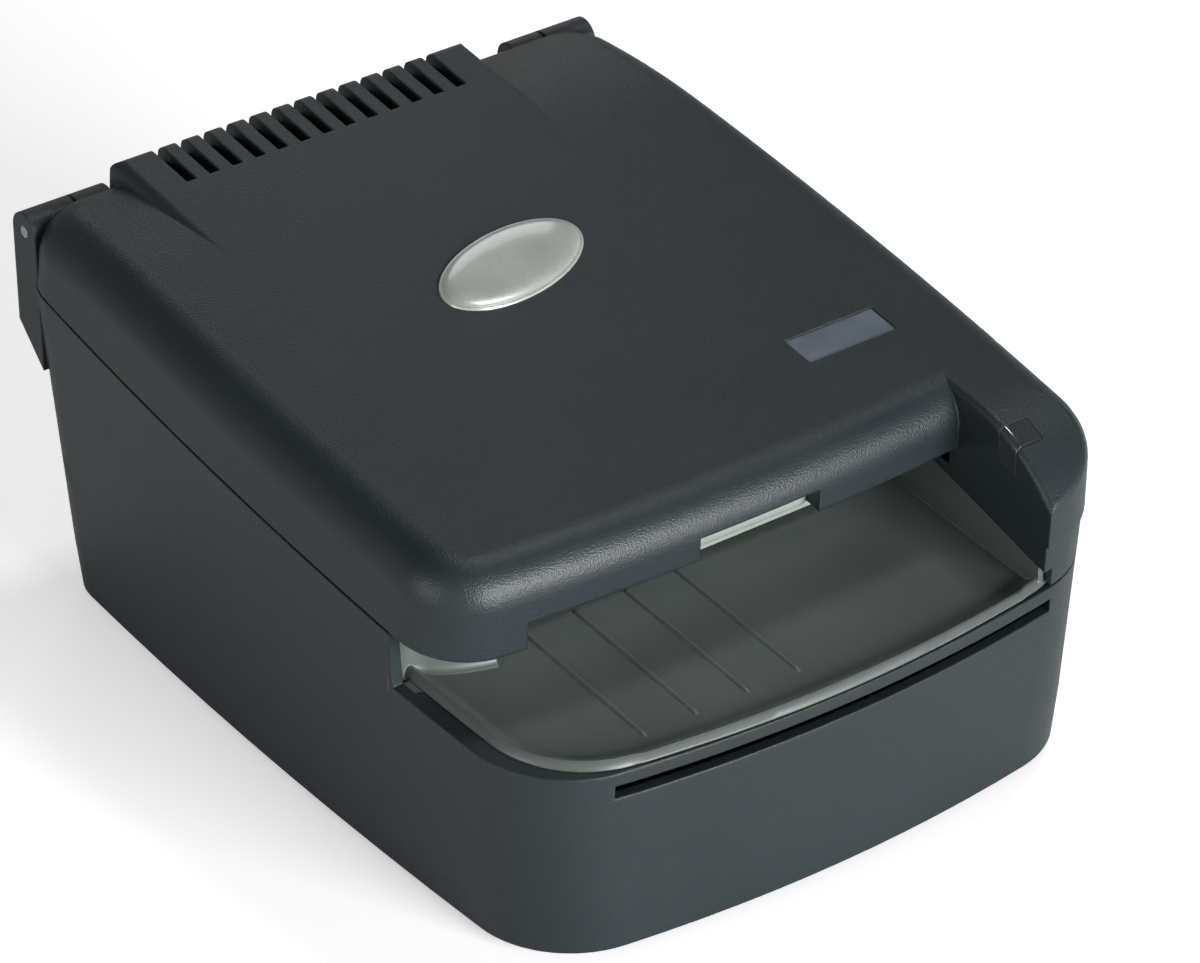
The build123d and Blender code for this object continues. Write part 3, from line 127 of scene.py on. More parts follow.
def makeEdgeGroup():  # worn, slightly polished edges, found with a rounded normal; on the badge the edge colour is darker and is painted shade at its rim
    group, start, end = newShaderGroup(
        "edgeWearAndShade",
        [("Position", "NodeSocketVector", None), ("Radius", "NodeSocketFloat", 0.0006),
         ("Break Up", "NodeSocketFloat", 220.0)],
        [("Mask", "NodeSocketFloat"), ("Normal", "NodeSocketVector")])
    rounded = addNode(group, "ShaderNodeBevel", -600, 100, samples=6)
    link(group, start, "Radius", rounded, "Radius")
    flat = addNode(group, "ShaderNodeNewGeometry", -600, -100)
    facing = addNode(group, "ShaderNodeVectorMath", -350, 0, operation="DOT_PRODUCT")
    link(group, rounded, "Normal", facing, 0)
    link(group, flat, "Normal", facing, 1)
    turned = addNode(group, "ShaderNodeMapRange", -150, 0)
    link(group, facing, "Value", turned, "Value")
    setInputs(turned, From_Min=0.995, From_Max=0.86)
    breaks = addNode(group, "ShaderNodeTexNoise", -350, -300)
    setInputs(breaks, Detail=4.0, Roughness=0.65)
    link(group, start, "Position", breaks, "Vector")
    link(group, start, "Break Up", breaks, "Scale")
    patchy = addNode(group, "ShaderNodeMapRange", -150, -300)
    link(group, breaks, "Fac", patchy, "Value")
    setInputs(patchy, From_Min=0.42, From_Max=0.68)
    mask = mathNode(group, "MULTIPLY", 150, -100, turned.outputs["Result"], patchy.outputs["Result"])
    group.links.new(mask, end.inputs["Mask"])
    link(group, rounded, "Normal", end, "Normal")
    return group


def makeDustGroup():  # thin film of dust where a face looks upwards
    group, start, end = newShaderGroup(
        "dustFilm", [("Position", "NodeSocketVector", None), ("Amount", "NodeSocketFloat", 0.2)],
        [("Mask", "NodeSocketFloat")])
    geometry = addNode(group, "ShaderNodeNewGeometry", -700, 200)
    parts = addNode(group, "ShaderNodeSeparateXYZ", -500, 200)
    link(group, geometry, "Normal", parts, "Vector")
    upward = addNode(group, "ShaderNodeMapRange", -300, 200)
    link(group, parts, "Z", upward, "Value")
    setInputs(upward, From_Min=0.35)
    motes = addNode(group, "ShaderNodeTexNoise", -500, -100)
    setInputs(motes, Scale=60.0, Detail=8.0, Roughness=0.72)
    link(group, start, "Position", motes, "Vector")
    spread = addNode(group, "ShaderNodeMapRange", -300, -100)
    link(group, motes, "Fac", spread, "Value")
    setInputs(spread, From_Min=0.4, From_Max=0.75)
    product = mathNode(group, "MULTIPLY", -50, 100, upward.outputs["Result"], spread.outputs["Result"])
    scaled = mathNode(group, "MULTIPLY", 150, 100, product, start.outputs["Amount"])
    group.links.new(scaled, end.inputs["Mask"])
    return group


grainGroup = makeGrainGroup()
edgeGroup = makeEdgeGroup()
dustGroup = makeDustGroup()


def mixColour(tree, x, y, low, high, factor):
    mixer = addNode(tree, "ShaderNodeMix", x, y, data_type="RGBA")
    mixer.clamp_factor = True
    for index, value in ((6, low), (7, high)):
        if isinstance(value, tuple):
            mixer.inputs[index].default_value = value
        else:
            tree.links.new(value, mixer.inputs[index])
    tree.links.new(factor, mixer.inputs[0])
    return mixer.outputs[2]


def finish(name, look):  # one Principled finish with grain, tone patches, worn edges (painted shade at the rim on the badge) and dust
    material = bpy.data.materials.new(name)
    material.use_nodes = True
    tree = material.node_tree
    shader = tree.nodes["Principled BSDF"]
    place = addNode(tree, "ShaderNodeTexCoord", -1500, 0)
    grain = addNode(tree, "ShaderNodeGroup", -1200, 200, node_tree=grainGroup)
    edge = addNode(tree, "ShaderNodeGroup", -1200, -150, node_tree=edgeGroup)
    dust = addNode(tree, "ShaderNodeGroup", -1200, -450, node_tree=dustGroup)
    for group in (grain, edge, dust):
        link(tree, place, "Object", group, "Position")
    setInputs(grain, Grain_Size=look["grainSize"], Patch_Size=look.get("patchSize", 30.0))
    setInputs(edge, Radius=look.get("edgeRadius", 0.5) * mm, Break_Up=look.get("breakUp", 220.0))
    setInputs(dust, Amount=look.get("dust", 0.15))
    colour = mixColour(tree, -850, 250, look["dark"], look["light"], grain.outputs["Patches"])
    speckMask = addNode(tree, "ShaderNodeMapRange", -850, 20)
    link(tree, grain, "Speckle", speckMask, "Value")
    setInputs(speckMask, From_Min=0.55, From_Max=0.9, To_Max=look.get("speckAmount", 0.5))
    speckled = mixColour(tree, -650, 250, colour, look.get("speck", look["light"]),
                         speckMask.outputs["Result"])
    # edge colour: wear on most finishes; on the badge it is darker, painted shade along the rim
    edgeWearAndShadeMask = mathNode(tree, "MULTIPLY", -650, -100, edge.outputs["Mask"], look.get("edgeWearAndShadeAmount", 0.4))
    edgeWearAndShadeColour = mixColour(tree, -450, 200, speckled, look["edgeWearAndShadeColour"], edgeWearAndShadeMask)
    dusty = mixColour(tree, -250, 150, edgeWearAndShadeColour, linear(120, 120, 115), dust.outputs["Mask"])
    tree.links.new(dusty, shader.inputs["Base Color"])
    rough = addNode(tree, "ShaderNodeMapRange", -450, -150)
    link(tree, grain, "Patches", rough, "Value")
    setInputs(rough, From_Min=0.3, From_Max=0.7, To_Min=look["rough"][0], To_Max=look["rough"][1])
    polished = mathNode(tree, "MULTIPLY_ADD", -250, -150, edgeWearAndShadeMask, look.get("polish", -0.15),
                        rough.outputs["Result"])
    tree.links.new(polished, shader.inputs["Roughness"])
    bump = addNode(tree, "ShaderNodeBump", -250, -400)
    setInputs(bump, Strength=look.get("bump", 0.3), Distance=look.get("bumpDepth", 0.06) * mm)
    link(tree, grain, "Height", bump, "Height")
    link(tree, edge, "Normal", bump, "Normal")
    tree.links.new(bump.outputs["Normal"], shader.inputs["Normal"])
    for key, value in look.get("shader", {}).items():
        shader.inputs[key].default_value = value
    return material


looks = {
    "housingPlastic": {"dark": linear(28, 36, 39), "light": linear(33, 42, 45), "edgeWearAndShadeColour": linear(80, 91, 92),
                       "speck": linear(58, 67, 70), "speckAmount": 0.4, "grainSize": 0.36, "patchSize": 42.0,
                       "rough": (0.36, 0.42), "bump": 0.6, "bumpDepth": 0.1, "edgeWearAndShadeAmount": 0.3, "dust": 0.02,
                       "edgeRadius": 0.7, "shader": {"Specular IOR Level": 0.36}},
    "trayPlastic": {"dark": linear(74, 81, 77), "light": linear(86, 93, 89), "edgeWearAndShadeColour": linear(150, 157, 151),
                    "grainSize": 0.5, "rough": (0.34, 0.44), "bump": 0.16, "bumpDepth": 0.03, "dust": 0.1,
                    "shader": {"Specular IOR Level": 0.45}},
    "guidePlastic": {"dark": linear(128, 136, 131), "light": linear(142, 150, 145),
                     "edgeWearAndShadeColour": linear(165, 172, 166),
                     "grainSize": 0.5, "rough": (0.32, 0.42), "bump": 0.12, "bumpDepth": 0.03,
                     "shader": {"Specular IOR Level": 0.45}},
    "blackPlastic": {"dark": linear(16, 16, 17), "light": linear(26, 26, 28), "edgeWearAndShadeColour": linear(70, 70, 72),
                     "grainSize": 0.3, "rough": (0.4, 0.55), "bump": 0.2, "bumpDepth": 0.03},
    "rollerRubber": {"dark": linear(18, 18, 18), "light": linear(34, 33, 32), "edgeWearAndShadeColour": linear(66, 64, 62),
                     "grainSize": 0.35, "rough": (0.68, 0.85), "bump": 0.5, "bumpDepth": 0.06, "edgeWearAndShadeAmount": 0.6,
                     "dust": 0.3, "polish": -0.1},
    "plainSteel": {"dark": linear(150, 152, 155), "light": linear(190, 192, 195),
                   "edgeWearAndShadeColour": linear(225, 226, 228),
                   "grainSize": 0.25, "rough": (0.22, 0.36), "bump": 0.12, "bumpDepth": 0.02, "dust": 0.05,
                   "shader": {"Metallic": 1.0}},
    "zincSheet": {"dark": linear(128, 132, 134), "light": linear(172, 176, 178),
                  "edgeWearAndShadeColour": linear(205, 207, 208),
                  "grainSize": 2.6, "patchSize": 7.0, "rough": (0.34, 0.52), "bump": 0.1, "bumpDepth": 0.02,
                  "shader": {"Metallic": 1.0}},
    "sinteredBronze": {"dark": linear(120, 92, 50), "light": linear(165, 132, 78),
                       "edgeWearAndShadeColour": linear(205, 175, 115),
                       "grainSize": 0.3, "rough": (0.35, 0.5), "bump": 0.3, "bumpDepth": 0.03,
                       "shader": {"Metallic": 1.0}},
    "naturalNylon": {"dark": linear(196, 192, 178), "light": linear(216, 213, 200),
                     "edgeWearAndShadeColour": linear(235, 233, 225),
                     "grainSize": 0.6, "rough": (0.38, 0.5), "bump": 0.12, "bumpDepth": 0.03,
                     "shader": {"Subsurface Weight": 0.12, "Subsurface Scale": 0.002}},
    # edge colour darker than the face: painted shade in the gap round the badge's rim
    "badgeMetal": {"dark": linear(172, 176, 170), "light": linear(200, 204, 198),
                   "edgeWearAndShadeColour": linear(120, 124, 120),
                   "speck": linear(150, 154, 148), "speckAmount": 0.3, "grainSize": 0.18, "patchSize": 14.0,
                   "rough": (0.24, 0.32), "bump": 0.05, "bumpDepth": 0.01, "dust": 0.0,
                   "shader": {"Metallic": 0.35, "Coat Weight": 0.7, "Coat Roughness": 0.06}},
    "plateMetal": {"dark": linear(102, 114, 126), "light": linear(118, 130, 141),
                   "edgeWearAndShadeColour": linear(150, 158, 166),
                   "grainSize": 0.2, "patchSize": 6.0, "rough": (0.3, 0.42), "bump": 0.1, "bumpDepth": 0.01,
                   "shader": {"Metallic": 0.5, "Coat Weight": 0.3, "Coat Roughness": 0.1}},
    "smokyAcrylic": {"dark": linear(40, 42, 46), "light": linear(58, 60, 64), "edgeWearAndShadeColour": linear(120, 122, 126),
                     "grainSize": 0.6, "rough": (0.1, 0.18), "bump": 0.04, "bumpDepth": 0.01, "edgeWearAndShadeAmount": 0.5,
                     "shader": {"Transmission Weight": 0.35, "IOR": 1.49, "Coat Weight": 0.6}},
    "boardLacquer": {"dark": linear(16, 66, 36), "light": linear(26, 88, 48), "edgeWearAndShadeColour": linear(170, 150, 90),
                     "grainSize": 0.5, "patchSize": 5.0, "rough": (0.25, 0.38),
                     "bump": 0.2, "bumpDepth": 0.03,
                     "shader": {"Coat Weight": 0.5}},
}
finishes = {name: finish(name, look) for name, look in looks.items()}

# clear glass over the image sensor
glassLook = {"tint": linear(214, 226, 222), "smear": linear(236, 240, 238), "roughness": 0.04, "ior": 1.5}
sensorGlass = bpy.data.materials.new("sensorGlass")
sensorGlass.use_nodes = True
glassTree = sensorGlass.node_tree
glassShader = glassTree.nodes["Principled BSDF"]
setInputs(glassShader, Roughness=glassLook["roughness"], IOR=glassLook["ior"], Transmission_Weight=1.0)
glassPlace = addNode(glassTree, "ShaderNodeTexCoord", -900, 0)
glassSmear = addNode(glassTree, "ShaderNodeTexNoise", -700, 0)
setInputs(glassSmear, Scale=140.0, Detail=5.0)
link(glassTree, glassPlace, "Object", glassSmear, "Vector")
glassTint = mixColour(glassTree, -400, 0, glassLook["tint"], glassLook["smear"], glassSmear.outputs["Fac"])
glassTree.links.new(glassTint, glassShader.inputs["Base Color"])
finishes["sensorGlass"] = sensorGlass
print("finishes made:", len(finishes))

nodeFinish = {
    "housingPlastic": ["base_housing", "bottom_pan", "top_cover"],
    "trayPlastic": ["entry_tray", "paper_bed"],
    "guidePlastic": ["upper_guide"],
    "rollerRubber": ["rubber_feet", "front_feed_tyres", "rear_feed_tyres", "front_pinch_tyres",
                     "rear_pinch_tyres"],
    "plainSteel": ["housing_screws", "board_screws", "guide_screws", "idler_stud", "hinge_pins",
                   "motor_shaft",
                   "front_feed_shaft", "rear_feed_shaft", "front_pinch_axle", "rear_pinch_axle", "read_head",
                   "usb_socket"],
    "zincSheet": ["chassis_left", "chassis_right", "stepper_motor", "head_bracket"],
    "sinteredBronze": ["shaft_bushes", "motor_pinion"],
    "naturalNylon": ["front_feed_gear", "rear_feed_gear", "idler_gear"],
    "blackPlastic": ["board_parts", "image_sensor", "power_inlet", "serial_socket"],
    "badgeMetal": ["oval_badge"],
    "plateMetal": ["name_plate"],
    "smokyAcrylic": ["light_pipe"],
    "boardLacquer": ["circuit_board"],
    "sensorGlass": ["sensor_glass"],
}
for name, members in nodeFinish.items():
    for member in members:
        holder = nodes[member]
        if not holder.data.materials:
            holder.data.materials.append(finishes[name])
        for slot in holder.material_slots:
            slot.material = finishes[name]
print("CAD nodes dressed")


# Geometry Nodes: what repeats
def newGeometryGroup(name, inputs):
    group = bpy.data.node_groups.new(name, "GeometryNodeTree")
    group.interface.new_socket("Geometry", in_out="INPUT", socket_type="NodeSocketGeometry")
    for label, kind, value in inputs:
        socket = group.interface.new_socket(label, in_out="INPUT", socket_type=kind)
        if value is not None:
            socket.default_value = value
    group.interface.new_socket("Geometry", in_out="OUTPUT", socket_type="NodeSocketGeometry")
    start = addNode(group, "NodeGroupInput", -1600, 0)
    end = addNode(group, "NodeGroupOutput", 1200, 0)
    return group, start, end


def finishGroup(group, end, geometry, material):  # realised, then given its finish
    real = addNode(group, "GeometryNodeRealizeInstances", 800, 0)
    paint = addNode(group, "GeometryNodeSetMaterial", 1000, 0)
    group.links.new(geometry, real.inputs["Geometry"])
    link(group, real, "Geometry", paint, "Geometry")
    group.links.new(material, paint.inputs["Material"])
    link(group, paint, "Geometry", end, "Geometry")


def makeScrewGroup():  # pan head with a cross recess, on a threaded shank that points along +Z
    group, start, end = newGeometryGroup("crossScrews", [
        ("Head Radius", "NodeSocketFloat", 0.0028), ("Head Height", "NodeSocketFloat", 0.0018),
        ("Shank Radius", "NodeSocketFloat", 0.0015), ("Length", "NodeSocketFloat", 0.01),
        ("Thread Pitch", "NodeSocketFloat", 0.0009), ("Recess Width", "NodeSocketFloat", 0.0007),
        ("Turn", "NodeSocketVector", None), ("Seed", "NodeSocketInt", 4),
        ("Material", "NodeSocketMaterial", None)])
    headRadius, headHeight = start.outputs["Head Radius"], start.outputs["Head Height"]
    rimHeight = mathNode(group, "MULTIPLY", -1350, 500, headHeight, 0.6)
    crownHeight = mathNode(group, "MULTIPLY", -1350, 350, headHeight, 0.4)
    crownRadius = mathNode(group, "MULTIPLY", -1350, 200, headRadius, 0.72)
    rim = addNode(group, "GeometryNodeMeshCylinder", -1100, 500)
    rim.inputs["Vertices"].default_value = 40
    group.links.new(headRadius, rim.inputs["Radius"])
    group.links.new(rimHeight, rim.inputs["Depth"])
    rimPlace = addNode(group, "GeometryNodeTransform", -850, 500)
    link(group, rim, "Mesh", rimPlace, "Geometry")
    group.links.new(vectorNode(group, -1100, 700, 0, 0,
                               mathNode(group, "MULTIPLY", -1350, 700, headHeight, -0.3)),
                    rimPlace.inputs["Translation"])
    crown = addNode(group, "GeometryNodeMeshCone", -1100, 250)
    crown.inputs["Vertices"].default_value = 40
    group.links.new(crownRadius, crown.inputs["Radius Top"])
    group.links.new(headRadius, crown.inputs["Radius Bottom"])
    group.links.new(crownHeight, crown.inputs["Depth"])
    crownPlace = addNode(group, "GeometryNodeTransform", -850, 250)
    link(group, crown, "Mesh", crownPlace, "Geometry")
    crownPlace.inputs["Rotation"].default_value = (math.pi, 0, 0)
    group.links.new(vectorNode(group, -1100, 100, 0, 0,
                               mathNode(group, "MULTIPLY", -1350, 50, headHeight, -0.6)),
                    crownPlace.inputs["Translation"])
    recessLength = mathNode(group, "MULTIPLY", -1350, -150, headRadius, 1.1)
    recessDeep = mathNode(group, "MULTIPLY", -1350, -300, headHeight, 1.2)
    barOne = addNode(group, "GeometryNodeMeshCube", -1100, -150)
    group.links.new(vectorNode(group, -1250, -150, recessLength, start.outputs["Recess Width"], recessDeep),
                    barOne.inputs["Size"])
    barTwo = addNode(group, "GeometryNodeMeshCube", -1100, -350)
    group.links.new(vectorNode(group, -1250, -350, start.outputs["Recess Width"], recessLength, recessDeep),
                    barTwo.inputs["Size"])
    recessPlace = vectorNode(group, -1250, -550, 0, 0,
                             mathNode(group, "MULTIPLY", -1350, -550, headHeight, -1.0))
    placedBars = []
    for index, bar in enumerate((barOne, barTwo)):
        placed = addNode(group, "GeometryNodeTransform", -850, -150 - 200 * index)
        link(group, bar, "Mesh", placed, "Geometry")
        group.links.new(recessPlace, placed.inputs["Translation"])
        placedBars.append(placed)
    cut = addNode(group, "GeometryNodeMeshBoolean", -550, 300, operation="DIFFERENCE")
    headJoin = addNode(group, "GeometryNodeMeshBoolean", -700, 450, operation="UNION")
    for placed in (rimPlace, crownPlace):
        group.links.new(placed.outputs["Geometry"], headJoin.inputs["Mesh 2"])
    group.links.new(headJoin.outputs["Mesh"], cut.inputs["Mesh 1"])
    for placed in placedBars:
        group.links.new(placed.outputs["Geometry"], cut.inputs["Mesh 2"])
    coreRadius = mathNode(group, "MULTIPLY", -1350, -700, start.outputs["Shank Radius"], 0.82)
    core = addNode(group, "GeometryNodeMeshCylinder", -1100, -700)
    core.inputs["Vertices"].default_value = 24
    group.links.new(coreRadius, core.inputs["Radius"])
    group.links.new(start.outputs["Length"], core.inputs["Depth"])
    corePlace = addNode(group, "GeometryNodeTransform", -850, -700)
    link(group, core, "Mesh", corePlace, "Geometry")
    group.links.new(vectorNode(group, -1100, -900, 0, 0, mathNode(group, "MULTIPLY", -1350, -900,
                                                                 start.outputs["Length"], 0.5)),
                    corePlace.inputs["Translation"])
    turns = mathNode(group, "FLOOR", -1100, -1100, mathNode(group, "DIVIDE", -1350, -1100,
                                                            start.outputs["Length"],
                                                            start.outputs["Thread Pitch"]))
    turnsLess = mathNode(group, "SUBTRACT", -950, -1100, turns, 1)
    ridgeLine = addNode(group, "GeometryNodeMeshLine", -800, -1100)
    group.links.new(turnsLess, ridgeLine.inputs["Count"])
    group.links.new(vectorNode(group, -950, -1250, 0, 0, start.outputs["Thread Pitch"]),
                    ridgeLine.inputs["Offset"])
    group.links.new(vectorNode(group, -950, -1400, 0, 0, start.outputs["Thread Pitch"]),
                    ridgeLine.inputs["Start Location"])
    ridge = addNode(group, "GeometryNodeMeshCone", -800, -1350)
    ridge.inputs["Vertices"].default_value = 24
    group.links.new(coreRadius, ridge.inputs["Radius Top"])
    group.links.new(start.outputs["Shank Radius"], ridge.inputs["Radius Bottom"])
    group.links.new(mathNode(group, "MULTIPLY", -950, -1550, start.outputs["Thread Pitch"], 0.5),
                    ridge.inputs["Depth"])
    ridges = addNode(group, "GeometryNodeInstanceOnPoints", -550, -1100)
    link(group, ridgeLine, "Mesh", ridges, "Points")
    link(group, ridge, "Mesh", ridges, "Instance")
    whole = addNode(group, "GeometryNodeJoinGeometry", -250, 0)
    for source in (cut.outputs["Mesh"], corePlace.outputs["Geometry"], ridges.outputs["Instances"]):
        group.links.new(source, whole.inputs["Geometry"])
    spin = addNode(group, "FunctionNodeRandomValue", -250, -400, data_type="FLOAT")
    for socket in spin.inputs:
        if socket.name == "Max" and socket.type == "VALUE":
            socket.default_value = math.pi
    link(group, start, "Seed", spin, "Seed")
    ownSpin = addNode(group, "FunctionNodeEulerToRotation", 0, -400)
    group.links.new(vectorNode(group, -100, -400, 0, 0, spin.outputs[1]), ownSpin.inputs["Euler"])
    lean = addNode(group, "FunctionNodeEulerToRotation", 0, -600)
    link(group, start, "Turn", lean, "Euler")
    turned = addNode(group, "FunctionNodeRotateRotation", 200, -500, rotation_space="LOCAL")
    link(group, lean, "Rotation", turned, "Rotation")
    link(group, ownSpin, "Rotation", turned, "Rotate By")
    screws = addNode(group, "GeometryNodeInstanceOnPoints", 500, 0)
    link(group, start, "Geometry", screws, "Points")
    link(group, whole, "Geometry", screws, "Instance")
    link(group, turned, "Rotation", screws, "Rotation")
    finishGroup(group, end, screws.outputs["Instances"], start.outputs["Material"])
    return group


def makeTyreGroup():  # rubber sleeve about X with grooves across its tread
    group, start, end = newGeometryGroup("groovedTyres", [
        ("Radius", "NodeSocketFloat", 0.008), ("Bore", "NodeSocketFloat", 0.0025),
        ("Width", "NodeSocketFloat", 0.012), ("Groove Count", "NodeSocketInt", 30),
        ("Groove Depth", "NodeSocketFloat", 0.0003), ("Edge Round", "NodeSocketFloat", 0.0005),
        ("Material", "NodeSocketMaterial", None)])
    radius, bore = start.outputs["Radius"], start.outputs["Bore"]
    middle = mathNode(group, "MULTIPLY", -1150, 300, mathNode(group, "ADD", -1350, 300, radius, bore), 0.5)
    thick = mathNode(group, "SUBTRACT", -1350, 100, radius, bore)
    around = addNode(group, "GeometryNodeCurvePrimitiveCircle", -950, 300)
    group.links.new(mathNode(group, "MULTIPLY", -1150, 450, start.outputs["Groove Count"], 6),
                    around.inputs["Resolution"])
    group.links.new(middle, around.inputs["Radius"])
    section = addNode(group, "GeometryNodeCurvePrimitiveQuadrilateral", -950, 50)
    group.links.new(thick, section.inputs["Width"])
    link(group, start, "Width", section, "Height")
    rounded = addNode(group, "GeometryNodeFilletCurve", -750, 50, mode="POLY")
    link(group, section, "Curve", rounded, "Curve")
    rounded.inputs["Count"].default_value = 3
    link(group, start, "Edge Round", rounded, "Radius")
    sleeve = addNode(group, "GeometryNodeCurveToMesh", -550, 200)
    link(group, around, "Curve", sleeve, "Curve")
    link(group, rounded, "Curve", sleeve, "Profile Curve")
    place = addNode(group, "GeometryNodeInputPosition", -950, -300)
    parts = addNode(group, "ShaderNodeSeparateXYZ", -750, -300)
    link(group, place, "Position", parts, "Vector")
    angle = mathNode(group, "ARCTAN2", -550, -200, parts.outputs["Y"], parts.outputs["X"])
    wave = mathNode(group, "SINE", -250, -200, mathNode(group, "MULTIPLY", -400, -200, angle,
                                                       start.outputs["Groove Count"]))
    inGroove = mathNode(group, "GREATER_THAN", -100, -200, wave, 0.35)
    reach = addNode(group, "ShaderNodeVectorMath", -750, -500, operation="LENGTH")
    group.links.new(vectorNode(group, -900, -500, parts.outputs["X"], parts.outputs["Y"], 0),
                    reach.inputs[0])
    onTread = mathNode(group, "GREATER_THAN", -400, -500, reach.outputs["Value"],
                       mathNode(group, "SUBTRACT", -550, -600, radius, 0.0008))
    sink = mathNode(group, "MULTIPLY", 50, -300, mathNode(group, "MULTIPLY", -50, -350, inGroove, onTread),
                    mathNode(group, "MULTIPLY", -100, -500, start.outputs["Groove Depth"], -1))
    outward = addNode(group, "ShaderNodeVectorMath", -550, -400, operation="NORMALIZE")
    group.links.new(vectorNode(group, -700, -400, parts.outputs["X"], parts.outputs["Y"], 0),
                    outward.inputs[0])
    offset = addNode(group, "ShaderNodeVectorMath", 150, -300, operation="SCALE")
    group.links.new(outward.outputs["Vector"], offset.inputs[0])
    group.links.new(sink, offset.inputs["Scale"])
    grooved = addNode(group, "GeometryNodeSetPosition", 150, 200)
    link(group, sleeve, "Mesh", grooved, "Geometry")
    group.links.new(offset.outputs["Vector"], grooved.inputs["Offset"])
    sleeves = addNode(group, "GeometryNodeInstanceOnPoints", 500, 0)
    link(group, start, "Geometry", sleeves, "Points")
    link(group, grooved, "Geometry", sleeves, "Instance")
    sleeves.inputs["Rotation"].default_value = (0, math.pi / 2, 0)
    finishGroup(group, end, sleeves.outputs["Instances"], start.outputs["Material"])
    return group


def makeLegGroup():  # bent chip legs; each point's facing turns its leg outwards
    group, start, end = newGeometryGroup("chipLegs", [
        ("Leg Width", "NodeSocketFloat", 0.0004), ("Leg Reach", "NodeSocketFloat", 0.0012),
        ("Leg Drop", "NodeSocketFloat", 0.0008), ("Leg Thickness", "NodeSocketFloat", 0.00018),
        ("Material", "NodeSocketMaterial", None)])
    width, reach = start.outputs["Leg Width"], start.outputs["Leg Reach"]
    drop, thickness = start.outputs["Leg Drop"], start.outputs["Leg Thickness"]
    halfReach = mathNode(group, "MULTIPLY", -1350, 300, reach, 0.5)
    upper = addNode(group, "GeometryNodeMeshCube", -1000, 300)
    group.links.new(vectorNode(group, -1200, 300, halfReach, width, thickness), upper.inputs["Size"])
    upright = addNode(group, "GeometryNodeMeshCube", -1000, 0)
    group.links.new(vectorNode(group, -1200, 0, thickness, width, drop), upright.inputs["Size"])
    foot = addNode(group, "GeometryNodeMeshCube", -1000, -300)
    group.links.new(vectorNode(group, -1200, -300, halfReach, width, thickness), foot.inputs["Size"])
    quarter = mathNode(group, "MULTIPLY", -1350, 100, reach, 0.25)
    whole = addNode(group, "GeometryNodeJoinGeometry", -350, 0)
    spots = (
        (upper, vectorNode(group, -800, 450, quarter, 0, drop)),
        (upright, vectorNode(group, -800, 150, halfReach, 0,
                             mathNode(group, "MULTIPLY", -950, 150, drop, 0.5))),
        (foot, vectorNode(group, -800, -150, mathNode(group, "MULTIPLY", -950, -150, reach, 0.75), 0,
                          mathNode(group, "MULTIPLY", -950, -450, thickness, 0.5))))
    for index, (bar, spot) in enumerate(spots):
        placed = addNode(group, "GeometryNodeTransform", -600, 300 - 300 * index)
        link(group, bar, "Mesh", placed, "Geometry")
        group.links.new(spot, placed.inputs["Translation"])
        group.links.new(placed.outputs["Geometry"], whole.inputs["Geometry"])
    facing = addNode(group, "GeometryNodeInputNamedAttribute", -350, -400, data_type="FLOAT")
    facing.inputs["Name"].default_value = "facing"
    turned = addNode(group, "FunctionNodeEulerToRotation", 100, -400)
    group.links.new(vectorNode(group, -100, -400, 0, 0, facing.outputs["Attribute"]), turned.inputs["Euler"])
    legs = addNode(group, "GeometryNodeInstanceOnPoints", 500, 0)
    link(group, start, "Geometry", legs, "Points")
    link(group, whole, "Geometry", legs, "Instance")
    link(group, turned, "Rotation", legs, "Rotation")
    finishGroup(group, end, legs.outputs["Instances"], start.outputs["Material"])
    return group


def pointMesh(name, points, facings=None):
    mesh = bpy.data.meshes.new(name)
    mesh.from_pydata([Vector(point) * mm for point in points], [], [])
    if facings is not None:
        layer = mesh.attributes.new("facing", "FLOAT", "POINT")
        layer.data.foreach_set("value", facings)
    return mesh


def smoothInto(mesh, shape, crispFrom):  # soft shading up to the angle, then into the mesh
    bmesh.ops.recalc_face_normals(shape, faces=shape.faces)
    for face in shape.faces:
        face.smooth = True
    for edge in shape.edges:
        edge.smooth = len(edge.link_faces) == 2 and edge.calc_face_angle(0) < crispFrom
    shape.to_mesh(mesh)
    shape.free()


def bakePiece(name, seeds, group, values):  # runs the nodes and keeps a plain mesh
    carrier = bpy.data.objects.new(name, seeds)
    bpy.context.scene.collection.objects.link(carrier)
    modifier = carrier.modifiers.new("shape", "NODES")
    modifier.node_group = group
    sockets = {item.name: item.identifier for item in group.interface.items_tree
               if item.item_type == "SOCKET" and item.in_out == "INPUT"}
    for label, value in values.items():
        modifier[sockets[label]] = value
    bpy.context.view_layer.update()
    solid = bpy.data.meshes.new_from_object(carrier.evaluated_get(bpy.context.evaluated_depsgraph_get()))
    carrier.modifiers.clear()
    carrier.data = solid
    solid.name = name
    solid.materials.clear()
    solid.materials.append(values["Material"])
    solid.polygons.foreach_set("material_index", [0] * len(solid.polygons))
    shape = bmesh.new()
    shape.from_mesh(solid)
    bmesh.ops.remove_doubles(shape, verts=shape.verts, dist=mergeDistance)
    smoothInto(solid, shape, sharpAngle)
    return carrier


screwGroup = makeScrewGroup()
tyreGroup = makeTyreGroup()
legGroup = makeLegGroup()

